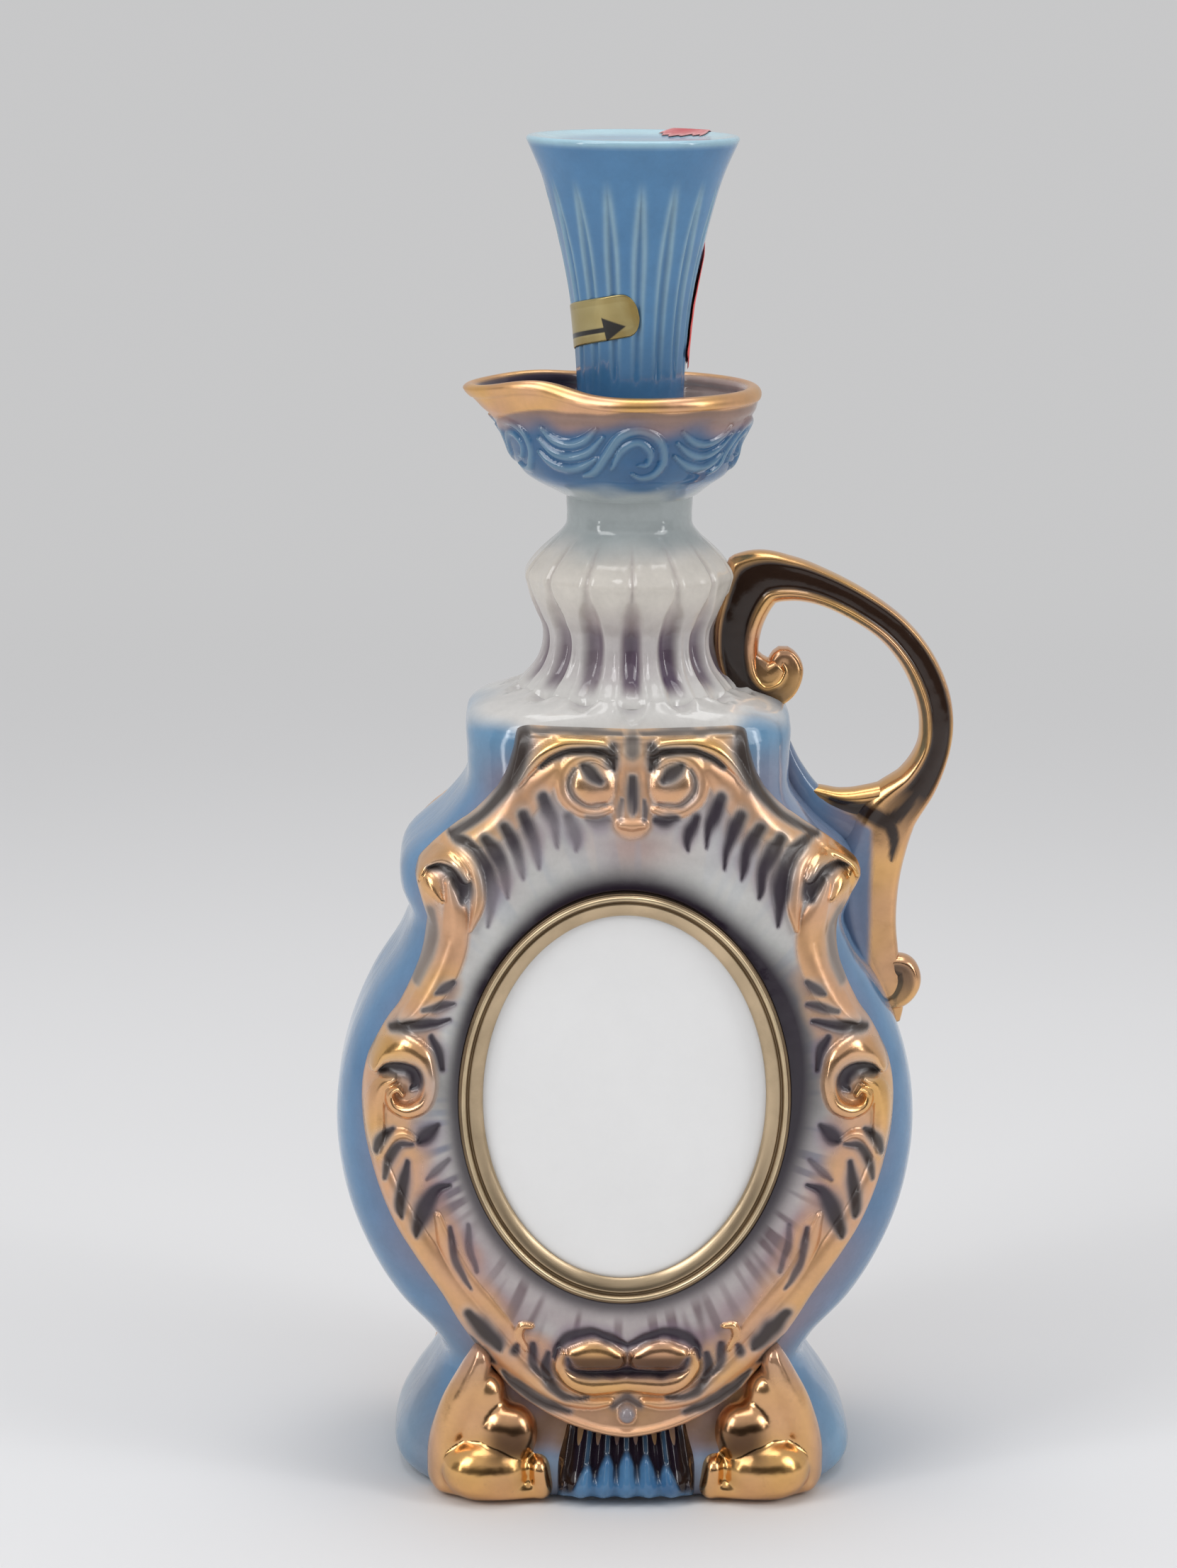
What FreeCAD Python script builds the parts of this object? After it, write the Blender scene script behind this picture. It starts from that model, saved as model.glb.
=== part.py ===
"""Figural liquor decanter: a hollow china body on scroll feet, a fluted neck, a lipped pouring bowl,
a scroll handle, a sprigged frame round an oval medallion on each face, and a corked flared stopper.

Millimetres, +Z up. The origin is on the neck's axis, on the plane that the decanter stands on.
The front face looks along -Y, the pouring lip along -X and the handle along +X.
"""

import FreeCAD, Part

import math
import os

V = FreeCAD.Vector

# China body shell
BODY_HEIGHT = 174.5
BODY_WIDTH = 126.8
BODY_DEPTH = 72.0
BODY_SIDE_WALL = 4.5
BODY_PANEL_WALL = 7.0
BODY_FLOOR = 5.0
BASE_RECESS_DEPTH = 1.5
BASE_RIM_WIDTH = 8.0

# Fluted neck, standing on the body's shoulder
NECK_HEIGHT = 41.0
NECK_FOOT_RADIUS = 23.5
NECK_WAIST_RADIUS = 18.2
NECK_COLLAR_RADIUS = 22.6
NECK_TOP_RADIUS = 13.6
NECK_BORE_RADIUS = 9.6
NECK_FLUTE_COUNT = 14
NECK_FLUTE_RADIUS = 3.6
NECK_FLUTE_DEPTH = 1.1

# Pouring bowl, standing on the neck
BOWL_HEIGHT = 23.0
BOWL_RIM_RADIUS = 27.8
BOWL_BELLY_RADIUS = 25.2
BOWL_LIP_REACH = 8.4
BOWL_WALL = 3.0
BOWL_FLOOR = 4.5
BOWL_BEAD_RADIUS = 1.9

# Stopper, standing on the bowl's floor round the throat
STOPPER_HEIGHT = 72.0
STOPPER_TOP_RADIUS = 22.8
STOPPER_STEM_RADIUS = 11.5
STOPPER_EDGE_ROUND = 1.0
STOPPER_FLUTE_COUNT = 18
STOPPER_FLUTE_RADIUS = 1.6
STOPPER_FLUTE_DEPTH = 0.55
STOPPER_SEAT_GAP = 0.1
SPIGOT_RADIUS = 6.0
SPIGOT_LENGTH = 24.0
SPIGOT_CLEARANCE = 0.05

# Cork sleeve on the stopper's spigot
CORK_LENGTH = 22.0
CORK_CHAMFER = 1.0
CORK_CLEARANCE = 0.06

# Paper and foil stuck on the stopper
LABEL_LENGTH = 25.0
LABEL_HEIGHT = 9.4
LABEL_THICKNESS = 0.25
LABEL_TILT = 12.0
LABEL_BEARING = 218.0
STRIP_WIDTH = 16.0
STRIP_THICKNESS = 0.35
STRIP_FLAP_LENGTH = 13.0
STRIP_BEARING = 52.0

# Scroll handle, in the plane of the lip
HANDLE_REACH = 71.0
HANDLE_BAND = 8.0
HANDLE_DEPTH = 11.0
HANDLE_CURL_RADIUS = 4.2
HANDLE_CORNER_RELIEF = 0.5

# Oval medallion, its bezel and the frame round them
MEDALLION_WIDTH = 60.4
MEDALLION_HEIGHT = 80.2
MEDALLION_THICKNESS = 2.2
MEDALLION_REBATE = 1.2
BEZEL_BAND = 5.2
BEZEL_DEPTH = 6.0
BEZEL_ROUND = 1.6
BEZEL_CLEARANCE = 0.1
SEAT_DEPTH = 3.5
FRAME_RELIEF = 3.6
ROLL_RELIEF = 2.4
ROLL_HALF_WIDTH = 2.4
VOLUTE_EYE_RADIUS = 1.8
BEAD_RADIUS = 2.4

# Scroll feet and the shell fan between them
FOOT_LENGTH = 23.0
FOOT_DEPTH = 17.0
FOOT_HEIGHT = 32.0
FAN_RIB_COUNT = 7
FAN_RIB_RADIUS = 2.3
FAN_TOP_RADIUS = 0.9
FAN_TIP_RADIUS = 2.6
FAN_HUB_RADIUS = 1.5
FAN_SPREAD = 96.0

CUT_OVERRUN = 2.0

# Body sections: height share, half-width share, half-depth share, squareness of the plan
BODY_SECTION_SHARES = (
    (0.000, 0.755, 0.920, 3.2),
    (0.015, 0.792, 0.980, 3.2),
    (0.046, 0.790, 0.985, 3.2),
    (0.083, 0.738, 0.945, 3.2),
    (0.120, 0.668, 0.895, 3.2),
    (0.150, 0.630, 0.875, 3.2),
    (0.180, 0.672, 0.895, 3.2),
    (0.230, 0.795, 0.945, 3.2),
    (0.310, 0.920, 0.990, 3.3),
    (0.390, 0.985, 1.000, 3.4),
    (0.470, 1.000, 1.000, 3.4),
    (0.550, 0.962, 1.000, 3.5),
    (0.620, 0.882, 0.988, 3.7),
    (0.682, 0.776, 0.970, 3.9),
    (0.722, 0.742, 0.950, 4.0),
    (0.760, 0.778, 0.925, 4.0),
    (0.797, 0.765, 0.895, 4.0),
    (0.842, 0.634, 0.855, 3.9),
    (0.880, 0.556, 0.825, 3.8),
    (0.920, 0.550, 0.795, 3.7),
    (0.960, 0.552, 0.762, 3.4),
    (0.980, 0.488, 0.725, 2.7),
)
SECTION_POINTS = 32
ROUND_PLAN = 2.0

# Neck outline between its named radii: height share, then the share from one radius to the next
NECK_SWELL_HEIGHT_SHARES = (0.10, 0.165, 0.29, 0.39, 0.56, 0.61, 0.745, 0.84)
NECK_SHOULDER_SHARE = 0.33
NECK_RISE_SHARE = 0.45
NECK_DROP_SHARE = 0.46
NECK_FLUTE_SPAN_SHARES = (0.03, 0.70)

# Bowl outline: height share, then the share of the way from the neck to the belly, and belly to rim
BOWL_LOWER_SHARES = ((0.0, 0.0), (0.11, 0.44), (0.24, 0.84), (0.38, 1.0))
BOWL_UPPER_SHARES = ((0.62, 0.30), (0.82, 0.60), (1.0, 1.0))
BOWL_LIP_RISE = 2.5
BOWL_LIP_SHARPNESS = 3
BEAD_SEAM_STEP = 0.5
ROPE_SEAM_STEP = 2.37

# Stopper flare: height share, share of the way from stem radius to top radius
STOPPER_FLARE_SHARES = ((0.0, 0.0), (0.25, 0.0), (0.39, 0.045), (0.52, 0.13), (0.647, 0.28), (0.77, 0.47),
                        (0.897, 0.70), (1.0, 1.0))
STOPPER_FLUTE_SPAN_SHARES = (0.30, 0.84)
LABEL_HEIGHT_SHARE = 0.46
STRIP_FOOT_SHARE = 0.30

# Frame outline, right half from the top middle down, one row of points for each run between two corners:
# shares of the body's half-width and height
FRAME_OUTLINE_SHARES = (
    ((0.000, 0.960), (0.190, 0.965), (0.372, 0.968)),
    ((0.372, 0.968), (0.392, 0.940), (0.450, 0.898), (0.525, 0.866), (0.580, 0.843), (0.618, 0.829)),
    ((0.618, 0.829), (0.656, 0.815), (0.702, 0.794), (0.710, 0.776), (0.685, 0.763)),
    ((0.685, 0.763), (0.680, 0.735), (0.700, 0.692), (0.740, 0.657), (0.778, 0.628)),
    ((0.778, 0.628), (0.818, 0.609), (0.845, 0.586), (0.880, 0.560), (0.898, 0.532), (0.903, 0.500)),
    ((0.903, 0.500), (0.897, 0.466), (0.879, 0.434), (0.842, 0.389), (0.792, 0.349), (0.719, 0.307)),
    ((0.719, 0.307), (0.630, 0.262), (0.546, 0.221), (0.470, 0.186), (0.372, 0.150)),
    ((0.372, 0.150), (0.218, 0.118), (0.090, 0.102), (0.000, 0.094)),
)
MEDALLION_CENTRE_SHARE = 0.52

# Volutes of the right half: centre shares, radius and half-width in band halves, turns, start angle, hand
VOLUTE_SHARES = {
    "brow": (0.142, 0.914, 2.33, 0.80, 1.10, 70.0, 1),
    "shoulder": (0.612, 0.793, 1.35, 0.67, 0.85, 100.0, -1),
    "flank": (0.762, 0.544, 2.08, 0.83, 0.95, 85.0, -1),
    "chin": (0.120, 0.1845, 1.62, 0.67, 0.90, 60.0, 1),
}
VOLUTE_TIP_SHARE = 0.42
# Rolled bands of the right half: the volutes at their ends, then centre shares and half-width in band halves
ROLL_SHARES = (
    (
        "brow",
        "shoulder",
        (
            (0.252, 0.943, 0.90),
            (0.320, 0.930, 1.00),
            (0.388, 0.891, 1.00),
            (0.462, 0.861, 1.00),
            (0.532, 0.834, 0.90),
        ),
    ),
    (
        "",
        "flank",
        (
            (0.625, 0.748, 0.70),
            (0.634, 0.722, 0.90),
            (0.651, 0.688, 1.00),
            (0.683, 0.650, 1.00),
            (0.719, 0.618, 0.95),
            (0.751, 0.593, 0.90),
        ),
    ),
    (
        "",
        "",
        (
            (0.838, 0.484, 0.75),
            (0.830, 0.456, 0.95),
            (0.804, 0.415, 1.00),
            (0.762, 0.375, 1.00),
            (0.703, 0.336, 1.00),
            (0.625, 0.292, 1.00),
            (0.536, 0.249, 1.00),
            (0.457, 0.212, 1.00),
            (0.379, 0.179, 0.90),
            (0.292, 0.154, 0.80),
            (0.189, 0.134, 0.75),
            (0.079, 0.120, 0.60),
        ),
    ),
    ("", "chin", ()),
)
BEAD_SHARES = ((0.0, 0.108), (0.0, 0.872))

# Handle routes: share of the reach, share of the way from the tail to the collar, band share, depth share
HANDLE_TAIL_SHARE = 0.5616
HANDLE_TOP_SHARE = 0.66
HANDLE_LOOP_SHARES = (
    (0.439, 0.778, 0.45, 0.50),
    (0.473, 0.801, 0.53, 0.58),
    (0.504, 0.769, 0.62, 0.66),
    (0.476, 0.723, 0.72, 0.74),
    (0.408, 0.711, 0.85, 0.80),
    (0.349, 0.749, 1.05, 0.84),
    (0.327, 0.816, 1.20, 0.88),
    (0.342, 0.888, 1.32, 0.92),
    (0.400, 0.950, 1.38, 0.98),
    (0.493, 0.958, 1.15, 1.00),
    (0.599, 0.939, 0.93, 1.00),
    (0.711, 0.900, 0.88, 1.00),
    (0.808, 0.852, 0.88, 1.00),
    (0.882, 0.791, 0.93, 1.00),
    (0.930, 0.722, 0.95, 1.00),
    (0.948, 0.657, 0.93, 1.00),
    (0.941, 0.594, 0.85, 1.00),
    (0.899, 0.526, 1.06, 1.00),
    (0.831, 0.462, 1.38, 1.00),
    (0.792, 0.391, 1.50, 0.96),
    (0.772, 0.314, 1.56, 0.90),
    (0.769, 0.232, 1.38, 0.84),
    (0.792, 0.155, 1.05, 0.78),
    (0.825, 0.087, 0.90, 0.68),
    (0.839, 0.034, 0.57, 0.48),
    (0.844, 0.000, 0.30, 0.28),
)
HANDLE_SHELF_SHARES = (
    (0.873, 0.497, 0.80, 0.70),
    (0.789, 0.478, 0.85, 0.82),
    (0.704, 0.476, 0.80, 0.82),
    (0.627, 0.486, 0.75, 0.80),
    (0.549, 0.497, 0.75, 0.76),
    (0.465, 0.507, 0.75, 0.72),
)
HANDLE_CURL_SHARES = (0.868, 0.104)

# Foot sections: height share, shift towards the middle, length share, depth share
FOOT_SECTION_SHARES = (
    (0.00, 0.00, 0.80, 0.74), (0.13, 0.00, 1.00, 1.00), (0.32, 0.02, 0.96, 1.00), (0.55, 0.10, 0.70, 0.78),
    (0.78, 0.18, 0.44, 0.52), (1.00, 0.24, 0.20, 0.24),
)
FOOT_PLACE_SHARES = (0.530, 0.900)
FAN_TOP_SHARE = 0.094
FAN_DEPTH_SHARE = 0.965


def half_width(share):
    return share * BODY_WIDTH / 2


def body_height(share):
    return share * BODY_HEIGHT


def closed_curve(points):
    """A smooth closed wire through points, with the same spacing of knots for every ring of a loft."""
    curve = Part.BSplineCurve()
    steps = [i / len(points) for i in range(len(points) + 1)]
    curve.interpolate(Points=points, PeriodicFlag=True, Parameters=steps)
    return Part.Wire(curve.toShape())


def open_curve(points):
    curve = Part.BSplineCurve()
    curve.interpolate(Points=points)
    return curve.toShape()


def plan_ring(half_x, half_y, squareness, height):
    """One level section of the body: a rounded oblong between an ellipse and a box."""
    points = []
    for i in range(SECTION_POINTS):
        turn = 2 * math.pi * i / SECTION_POINTS
        c, s = math.cos(turn), math.sin(turn)
        swell = (abs(c) ** squareness + abs(s) ** squareness) ** (-1 / squareness)
        points.append(V(half_x * c * swell, half_y * s * swell, height))
    return closed_curve(points)


def turned(profile, axis_edges):
    """A solid of revolution about Z from the edges of its half outline."""
    face = Part.Face(Part.Wire(Part.__sortEdges__(profile + axis_edges)))
    return face.revolve(V(0, 0, 0), V(0, 0, 1), 360)


def drum(radius, low, high):
    return Part.makeCylinder(radius, high - low, V(0, 0, low))


def ellipse_face(half_x, half_z, height, y):
    """A flat oval in a plane of constant Y."""
    turned_axis = FreeCAD.Rotation(V(1, 0, 0), 90)
    long_first = half_z >= half_x
    curve = Part.Ellipse(V(0, 0, 0), max(half_x, half_z), min(half_x, half_z))
    face = Part.Face(Part.Wire(curve.toShape()))
    if long_first:
        face.rotate(V(0, 0, 0), V(0, 0, 1), 90)
    face.Placement = FreeCAD.Placement(V(0, y, height), turned_axis).multiply(face.Placement)
    return face


def oval_block(half_x, half_z, height, y_near, y_far):
    return ellipse_face(half_x, half_z, height, y_near).extrude(V(0, y_far - y_near, 0))


def largest(shape):
    return max(shape.Solids, key=lambda s: s.Volume)


def mirrored_y(shape):
    return shape.mirror(V(0, 0, 0), V(0, 1, 0))


def mirrored_x(shape):
    return shape.mirror(V(0, 0, 0), V(1, 0, 0))


# Body shell


def body_block():
    """The body's outside as one solid block, up to the neck's seat."""
    rings = [
        plan_ring(half_width(w), d * BODY_DEPTH / 2, n, body_height(h)) for h, w, d, n in BODY_SECTION_SHARES
    ]
    rings.append(plan_ring(NECK_FOOT_RADIUS, NECK_FOOT_RADIUS, ROUND_PLAN, BODY_HEIGHT))
    return Part.makeLoft(rings, True, False)


def body_cavity():
    """The space for the liquor, with the neck's bore above it."""
    top = BODY_HEIGHT - BODY_SIDE_WALL
    rows = [row for row in BODY_SECTION_SHARES if BODY_FLOOR < body_height(row[0]) < top]
    first, last = BODY_SECTION_SHARES[1], rows[-1]

    def ring(row, height):
        half_x = half_width(row[1]) - BODY_SIDE_WALL
        half_y = row[2] * BODY_DEPTH / 2 - BODY_PANEL_WALL
        return plan_ring(half_x, half_y, row[3], height)

    rings = [ring(first, BODY_FLOOR)]
    rings += [ring(row, body_height(row[0])) for row in rows[:-1]]
    rings.append(ring(last, top))
    return Part.makeLoft(rings, True, False)


def seat_plane():
    """How far in front of the axis the medallion's flat seat lies."""
    return BODY_DEPTH / 2 - SEAT_DEPTH


def bezel_half_sizes(extra=0.0):
    return (MEDALLION_WIDTH / 2 + BEZEL_BAND + extra, MEDALLION_HEIGHT / 2 + BEZEL_BAND + extra)


def seat_cutter():
    half_x, half_z = bezel_half_sizes(BEZEL_CLEARANCE)
    return oval_block(half_x, half_z, body_height(MEDALLION_CENTRE_SHARE), -seat_plane(), -BODY_DEPTH)


def body_shell(block):
    shell = block.cut(body_cavity())
    shell = shell.cut(drum(NECK_BORE_RADIUS, BODY_HEIGHT / 2, BODY_HEIGHT + CUT_OVERRUN))
    first = BODY_SECTION_SHARES[0]
    recess_ring = plan_ring(
        half_width(first[1]) - BASE_RIM_WIDTH, first[2] * BODY_DEPTH / 2 - BASE_RIM_WIDTH, first[3], 0
    )
    recess = Part.Face(recess_ring).extrude(V(0, 0, BASE_RECESS_DEPTH))
    seat = seat_cutter()
    return largest(shell.cut(recess).cut(seat).cut(mirrored_y(seat)))


# Fluted neck


def neck_outline():
    """Radius and height of the neck's outside from its foot to its top."""
    foot, waist, collar, top = NECK_FOOT_RADIUS, NECK_WAIST_RADIUS, NECK_COLLAR_RADIUS, NECK_TOP_RADIUS
    radii = (
        waist + (foot - waist) * NECK_SHOULDER_SHARE,
        waist,
        waist,
        waist + (collar - waist) * NECK_RISE_SHARE,
        collar,
        collar,
        top + (collar - top) * NECK_DROP_SHARE,
        top,
    )
    points = [V(foot, 0, BODY_HEIGHT)]
    for radius, share in zip(radii, NECK_SWELL_HEIGHT_SHARES):
        points.append(V(radius, 0, BODY_HEIGHT + share * NECK_HEIGHT))
    return points


def groove_rods(outline_edge, span_shares, rod, depth, count):
    """Rods laid along an outline and turned round Z, to cut flutes of a given depth."""
    low, high = outline_edge.ParameterRange
    start, end = (low + (high - low) * share for share in span_shares)
    steps = 9
    points = []
    for i in range(steps):
        at = outline_edge.valueAt(start + (end - start) * i / (steps - 1))
        points.append(V(at.x + rod - depth, 0, at.z))
    path = open_curve(points)
    ring = Part.Wire(Part.Circle(points[0], path.tangentAt(path.FirstParameter), rod).toShape())
    groove = Part.Wire(path).makePipeShell([ring], True, False)
    ends = [Part.makeSphere(rod, p) for p in (points[0], points[-1])]
    rods = []
    for i in range(count):
        for piece in [groove] + ends:
            turned_piece = piece.copy()
            turned_piece.rotate(V(0, 0, 0), V(0, 0, 1), 360 * (i + 0.5) / count - 90)
            rods.append(turned_piece)
    return rods


def fluted_neck():
    points = neck_outline()
    top = V(NECK_TOP_RADIUS, 0, BODY_HEIGHT + NECK_HEIGHT)
    swell = open_curve(points)
    inner_low, inner_top = V(NECK_BORE_RADIUS, 0, BODY_HEIGHT), V(NECK_BORE_RADIUS, 0, top.z)
    straight = [
        Part.makeLine(points[-1], top),
        Part.makeLine(top, inner_top),
        Part.makeLine(inner_top, inner_low),
        Part.makeLine(inner_low, points[0]),
    ]
    neck = turned([swell], straight)
    rods = groove_rods(swell, NECK_FLUTE_SPAN_SHARES, NECK_FLUTE_RADIUS, NECK_FLUTE_DEPTH, NECK_FLUTE_COUNT)
    return largest(neck.cut(rods))


# Pouring bowl


def bowl_seat():
    return BODY_HEIGHT + NECK_HEIGHT


def bowl_floor():
    return bowl_seat() + BOWL_FLOOR


def bowl_radius(share):
    """The bowl's outside radius away from the lip, at a share of its height."""
    swell, spread = BOWL_BELLY_RADIUS - NECK_TOP_RADIUS, BOWL_RIM_RADIUS - BOWL_BELLY_RADIUS
    rows = [(h, NECK_TOP_RADIUS + swell * w) for h, w in BOWL_LOWER_SHARES]
    rows += [(h, BOWL_BELLY_RADIUS + spread * w) for h, w in BOWL_UPPER_SHARES]
    for (h0, r0), (h1, r1) in zip(rows, rows[1:]):
        if share <= h1:
            return r0 + (r1 - r0) * (share - h0) / (h1 - h0)
    return rows[-1][1]


def bowl_ring(share, inset, height, seam_step=0.0):
    """One level section of the bowl: a circle drawn out towards -X at the pouring lip."""
    points = []
    for i in range(SECTION_POINTS):
        turn = 2 * math.pi * (i + seam_step) / SECTION_POINTS
        lip = ((1 - math.cos(turn)) / 2) ** BOWL_LIP_SHARPNESS * share ** BOWL_LIP_RISE
        radius = bowl_radius(share) + BOWL_LIP_REACH * lip - inset
        points.append(V(radius * math.cos(turn), radius * math.sin(turn), height))
    return closed_curve(points)


def pouring_bowl():
    shares = [h for h, _ in BOWL_LOWER_SHARES + BOWL_UPPER_SHARES]
    outside = Part.makeLoft([bowl_ring(s, 0, bowl_seat() + s * BOWL_HEIGHT) for s in shares], True, False)
    floor_share = BOWL_FLOOR / BOWL_HEIGHT
    inner_shares = [floor_share] + [s for s in shares if s > floor_share]
    inner = [bowl_ring(s, BOWL_WALL, bowl_seat() + s * BOWL_HEIGHT) for s in inner_shares]
    bowl = outside.cut(Part.makeLoft(inner, True, False))
    bowl = bowl.cut(drum(NECK_BORE_RADIUS, bowl_seat() - CUT_OVERRUN, bowl_floor() + CUT_OVERRUN))
    return largest(bowl.fuse(bowl_bead()))


def bowl_bead():
    """The rolled rim, round in section, that runs along the top of the bowl's wall."""
    path = bowl_ring(1.0, BOWL_WALL / 2, bowl_seat() + BOWL_HEIGHT - BOWL_BEAD_RADIUS / 2, BEAD_SEAM_STEP)
    edge = path.Edges[0]
    start = edge.valueAt(edge.FirstParameter)
    section = Part.Circle(start, edge.tangentAt(edge.FirstParameter), BOWL_BEAD_RADIUS)
    return path.makePipeShell([Part.Wire(section.toShape())], True, True)


# Stopper and cork


def stopper_seat():
    return bowl_floor() + STOPPER_SEAT_GAP


def flare_edge(extra=0.0):
    """The stopper's side outline, standing out by extra."""
    spread = STOPPER_TOP_RADIUS - STOPPER_STEM_RADIUS
    return open_curve(
        [
            V(STOPPER_STEM_RADIUS + spread * out + extra, 0, stopper_seat() + h * STOPPER_HEIGHT)
            for h, out in STOPPER_FLARE_SHARES
        ]
    )


def flare_block(extra=0.0):
    side = flare_edge(extra)
    low, high = side.Vertexes[0].Point, side.Vertexes[-1].Point
    axis_low, axis_high = V(0, 0, low.z), V(0, 0, high.z)
    straight = [
        Part.makeLine(high, axis_high),
        Part.makeLine(axis_high, axis_low),
        Part.makeLine(axis_low, low),
    ]
    return turned([side], straight)


def stopper():
    cap = flare_block()
    rim = [e for e in cap.Edges if e.BoundBox.ZMin > stopper_seat() + STOPPER_HEIGHT - STOPPER_EDGE_ROUND]
    cap = cap.makeFillet(STOPPER_EDGE_ROUND, rim)
    rods = groove_rods(
        flare_edge(),
        STOPPER_FLUTE_SPAN_SHARES,
        STOPPER_FLUTE_RADIUS,
        STOPPER_FLUTE_DEPTH,
        STOPPER_FLUTE_COUNT,
    )
    spigot = drum(SPIGOT_RADIUS, stopper_seat() - SPIGOT_LENGTH, stopper_seat())
    return largest(cap.cut(rods).fuse(spigot).removeSplitter())


def cork_sleeve():
    outer, bore = NECK_BORE_RADIUS - CORK_CLEARANCE, SPIGOT_RADIUS + SPIGOT_CLEARANCE
    top = stopper_seat() - STOPPER_SEAT_GAP
    sleeve = drum(outer, top - CORK_LENGTH, top).cut(drum(bore, top - CORK_LENGTH, top))
    rims = [
        e
        for e in sleeve.Edges
        if e.Curve.TypeId == "Part::GeomCircle" and abs(e.Curve.Radius - outer) < CORK_CLEARANCE
    ]
    return sleeve.makeChamfer(CORK_CHAMFER, rims)


def open_label():
    """A foil label wrapped round the stem, leaning as it goes round."""
    skin = flare_block(LABEL_THICKNESS).cut(flare_block())
    middle = V(0, 0, stopper_seat() + LABEL_HEIGHT_SHARE * STOPPER_HEIGHT)
    slab = Part.makeBox(LABEL_LENGTH * 2, LABEL_LENGTH * 2, LABEL_HEIGHT)
    slab.translate(V(-LABEL_LENGTH, -LABEL_LENGTH, -LABEL_HEIGHT / 2))
    slab.rotate(V(0, 0, 0), V(1, 0, 0), -LABEL_TILT)
    arc = math.degrees(LABEL_LENGTH / STOPPER_STEM_RADIUS)
    low = V(0, 0, -STOPPER_HEIGHT / 2)
    wedge = Part.makeCylinder(STOPPER_TOP_RADIUS, STOPPER_HEIGHT, low, V(0, 0, 1), arc)
    wedge.rotate(V(0, 0, 0), V(0, 0, 1), -arc / 2)
    tool = slab.common(wedge)
    tool.rotate(V(0, 0, 0), V(0, 0, 1), LABEL_BEARING)
    tool.translate(middle)
    return largest(skin.common(tool))


def seal_strip():
    """The paper strip left on the stopper: down its side and folded over its top."""
    foot = stopper_seat() + STRIP_FOOT_SHARE * STOPPER_HEIGHT
    top = stopper_seat() + STOPPER_HEIGHT
    reach = STOPPER_TOP_RADIUS + STRIP_THICKNESS
    skin = flare_block(STRIP_THICKNESS).fuse(drum(reach, top, top + STRIP_THICKNESS)).cut(flare_block())
    side = Part.makeBox(reach, STRIP_WIDTH, top - foot, V(0, -STRIP_WIDTH / 2, foot))
    flap_start = V(reach - STRIP_FLAP_LENGTH, -STRIP_WIDTH / 2, top)
    flap = Part.makeBox(STRIP_FLAP_LENGTH, STRIP_WIDTH, STRIP_THICKNESS, flap_start)
    tool = side.fuse(flap)
    tool.rotate(V(0, 0, 0), V(0, 0, 1), STRIP_BEARING)
    return largest(skin.common(tool))


# Handle


def handle_point(share):
    low = body_height(HANDLE_TAIL_SHARE)
    high = BODY_HEIGHT + HANDLE_TOP_SHARE * NECK_HEIGHT
    return V(share[0] * HANDLE_REACH, 0, low + (high - low) * share[1])


def rope(points, half_bands, half_depths):
    """A smooth rod through points along the XZ plane, with an oval section at each point."""
    rings = []
    for i, point in enumerate(points):
        before, after = points[max(i - 1, 0)], points[min(i + 1, len(points) - 1)]
        along = (after - before).normalize()
        across = V(-along.z, 0, along.x).normalize()
        ring = []
        for k in range(SECTION_POINTS // 2):
            turn = 4 * math.pi * (k + ROPE_SEAM_STEP) / SECTION_POINTS
            out = across * (half_bands[i] * math.cos(turn))
            ring.append(point + out + V(0, half_depths[i] * math.sin(turn), 0))
        rings.append(closed_curve(ring))
    rod = Part.makeLoft(rings, True, False)
    if rod.Volume < 0:
        rod.reverse()
    return rod


def handle_rope(shares):
    points = [handle_point(s) for s in shares]
    bands = [s[2] * HANDLE_BAND / 2 for s in shares]
    depths = [s[3] * HANDLE_DEPTH / 2 for s in shares]
    return rope(points, bands, depths)


def handle(block, neck):
    loop = handle_rope(HANDLE_LOOP_SHARES)
    curl = Part.makeSphere(HANDLE_CURL_RADIUS, handle_point(HANDLE_CURL_SHARES))
    whole = loop.fuse(handle_rope(HANDLE_SHELF_SHARES)).fuse(curl)
    relief_top = BODY_HEIGHT + HANDLE_CORNER_RELIEF
    relief = drum(NECK_FOOT_RADIUS + HANDLE_CORNER_RELIEF, BODY_HEIGHT - CUT_OVERRUN, relief_top)
    return largest(whole.cut(block).cut(relief).cut(neck))


# Medallion, bezel and frame


def bezel():
    height = body_height(MEDALLION_CENTRE_SHARE)
    back, front = -seat_plane(), -(seat_plane() + BEZEL_DEPTH)
    outer_x, outer_z = bezel_half_sizes()
    ring = oval_block(outer_x, outer_z, height, back, front)
    ring = ring.cut(oval_block(MEDALLION_WIDTH / 2, MEDALLION_HEIGHT / 2, height, back, front))
    rims = [e for e in ring.Edges if e.BoundBox.YMax < front + BEZEL_ROUND]
    ring = ring.makeFillet(BEZEL_ROUND, rims)
    rebate = oval_block(
        MEDALLION_WIDTH / 2 + MEDALLION_REBATE,
        MEDALLION_HEIGHT / 2 + MEDALLION_REBATE,
        height,
        back,
        back - MEDALLION_THICKNESS - BEZEL_CLEARANCE,
    )
    return largest(ring.cut(rebate))


def medallion():
    edge = MEDALLION_REBATE - BEZEL_CLEARANCE
    return oval_block(
        MEDALLION_WIDTH / 2 + edge,
        MEDALLION_HEIGHT / 2 + edge,
        body_height(MEDALLION_CENTRE_SHARE),
        -seat_plane(),
        -(seat_plane() + MEDALLION_THICKNESS),
    )


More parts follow.
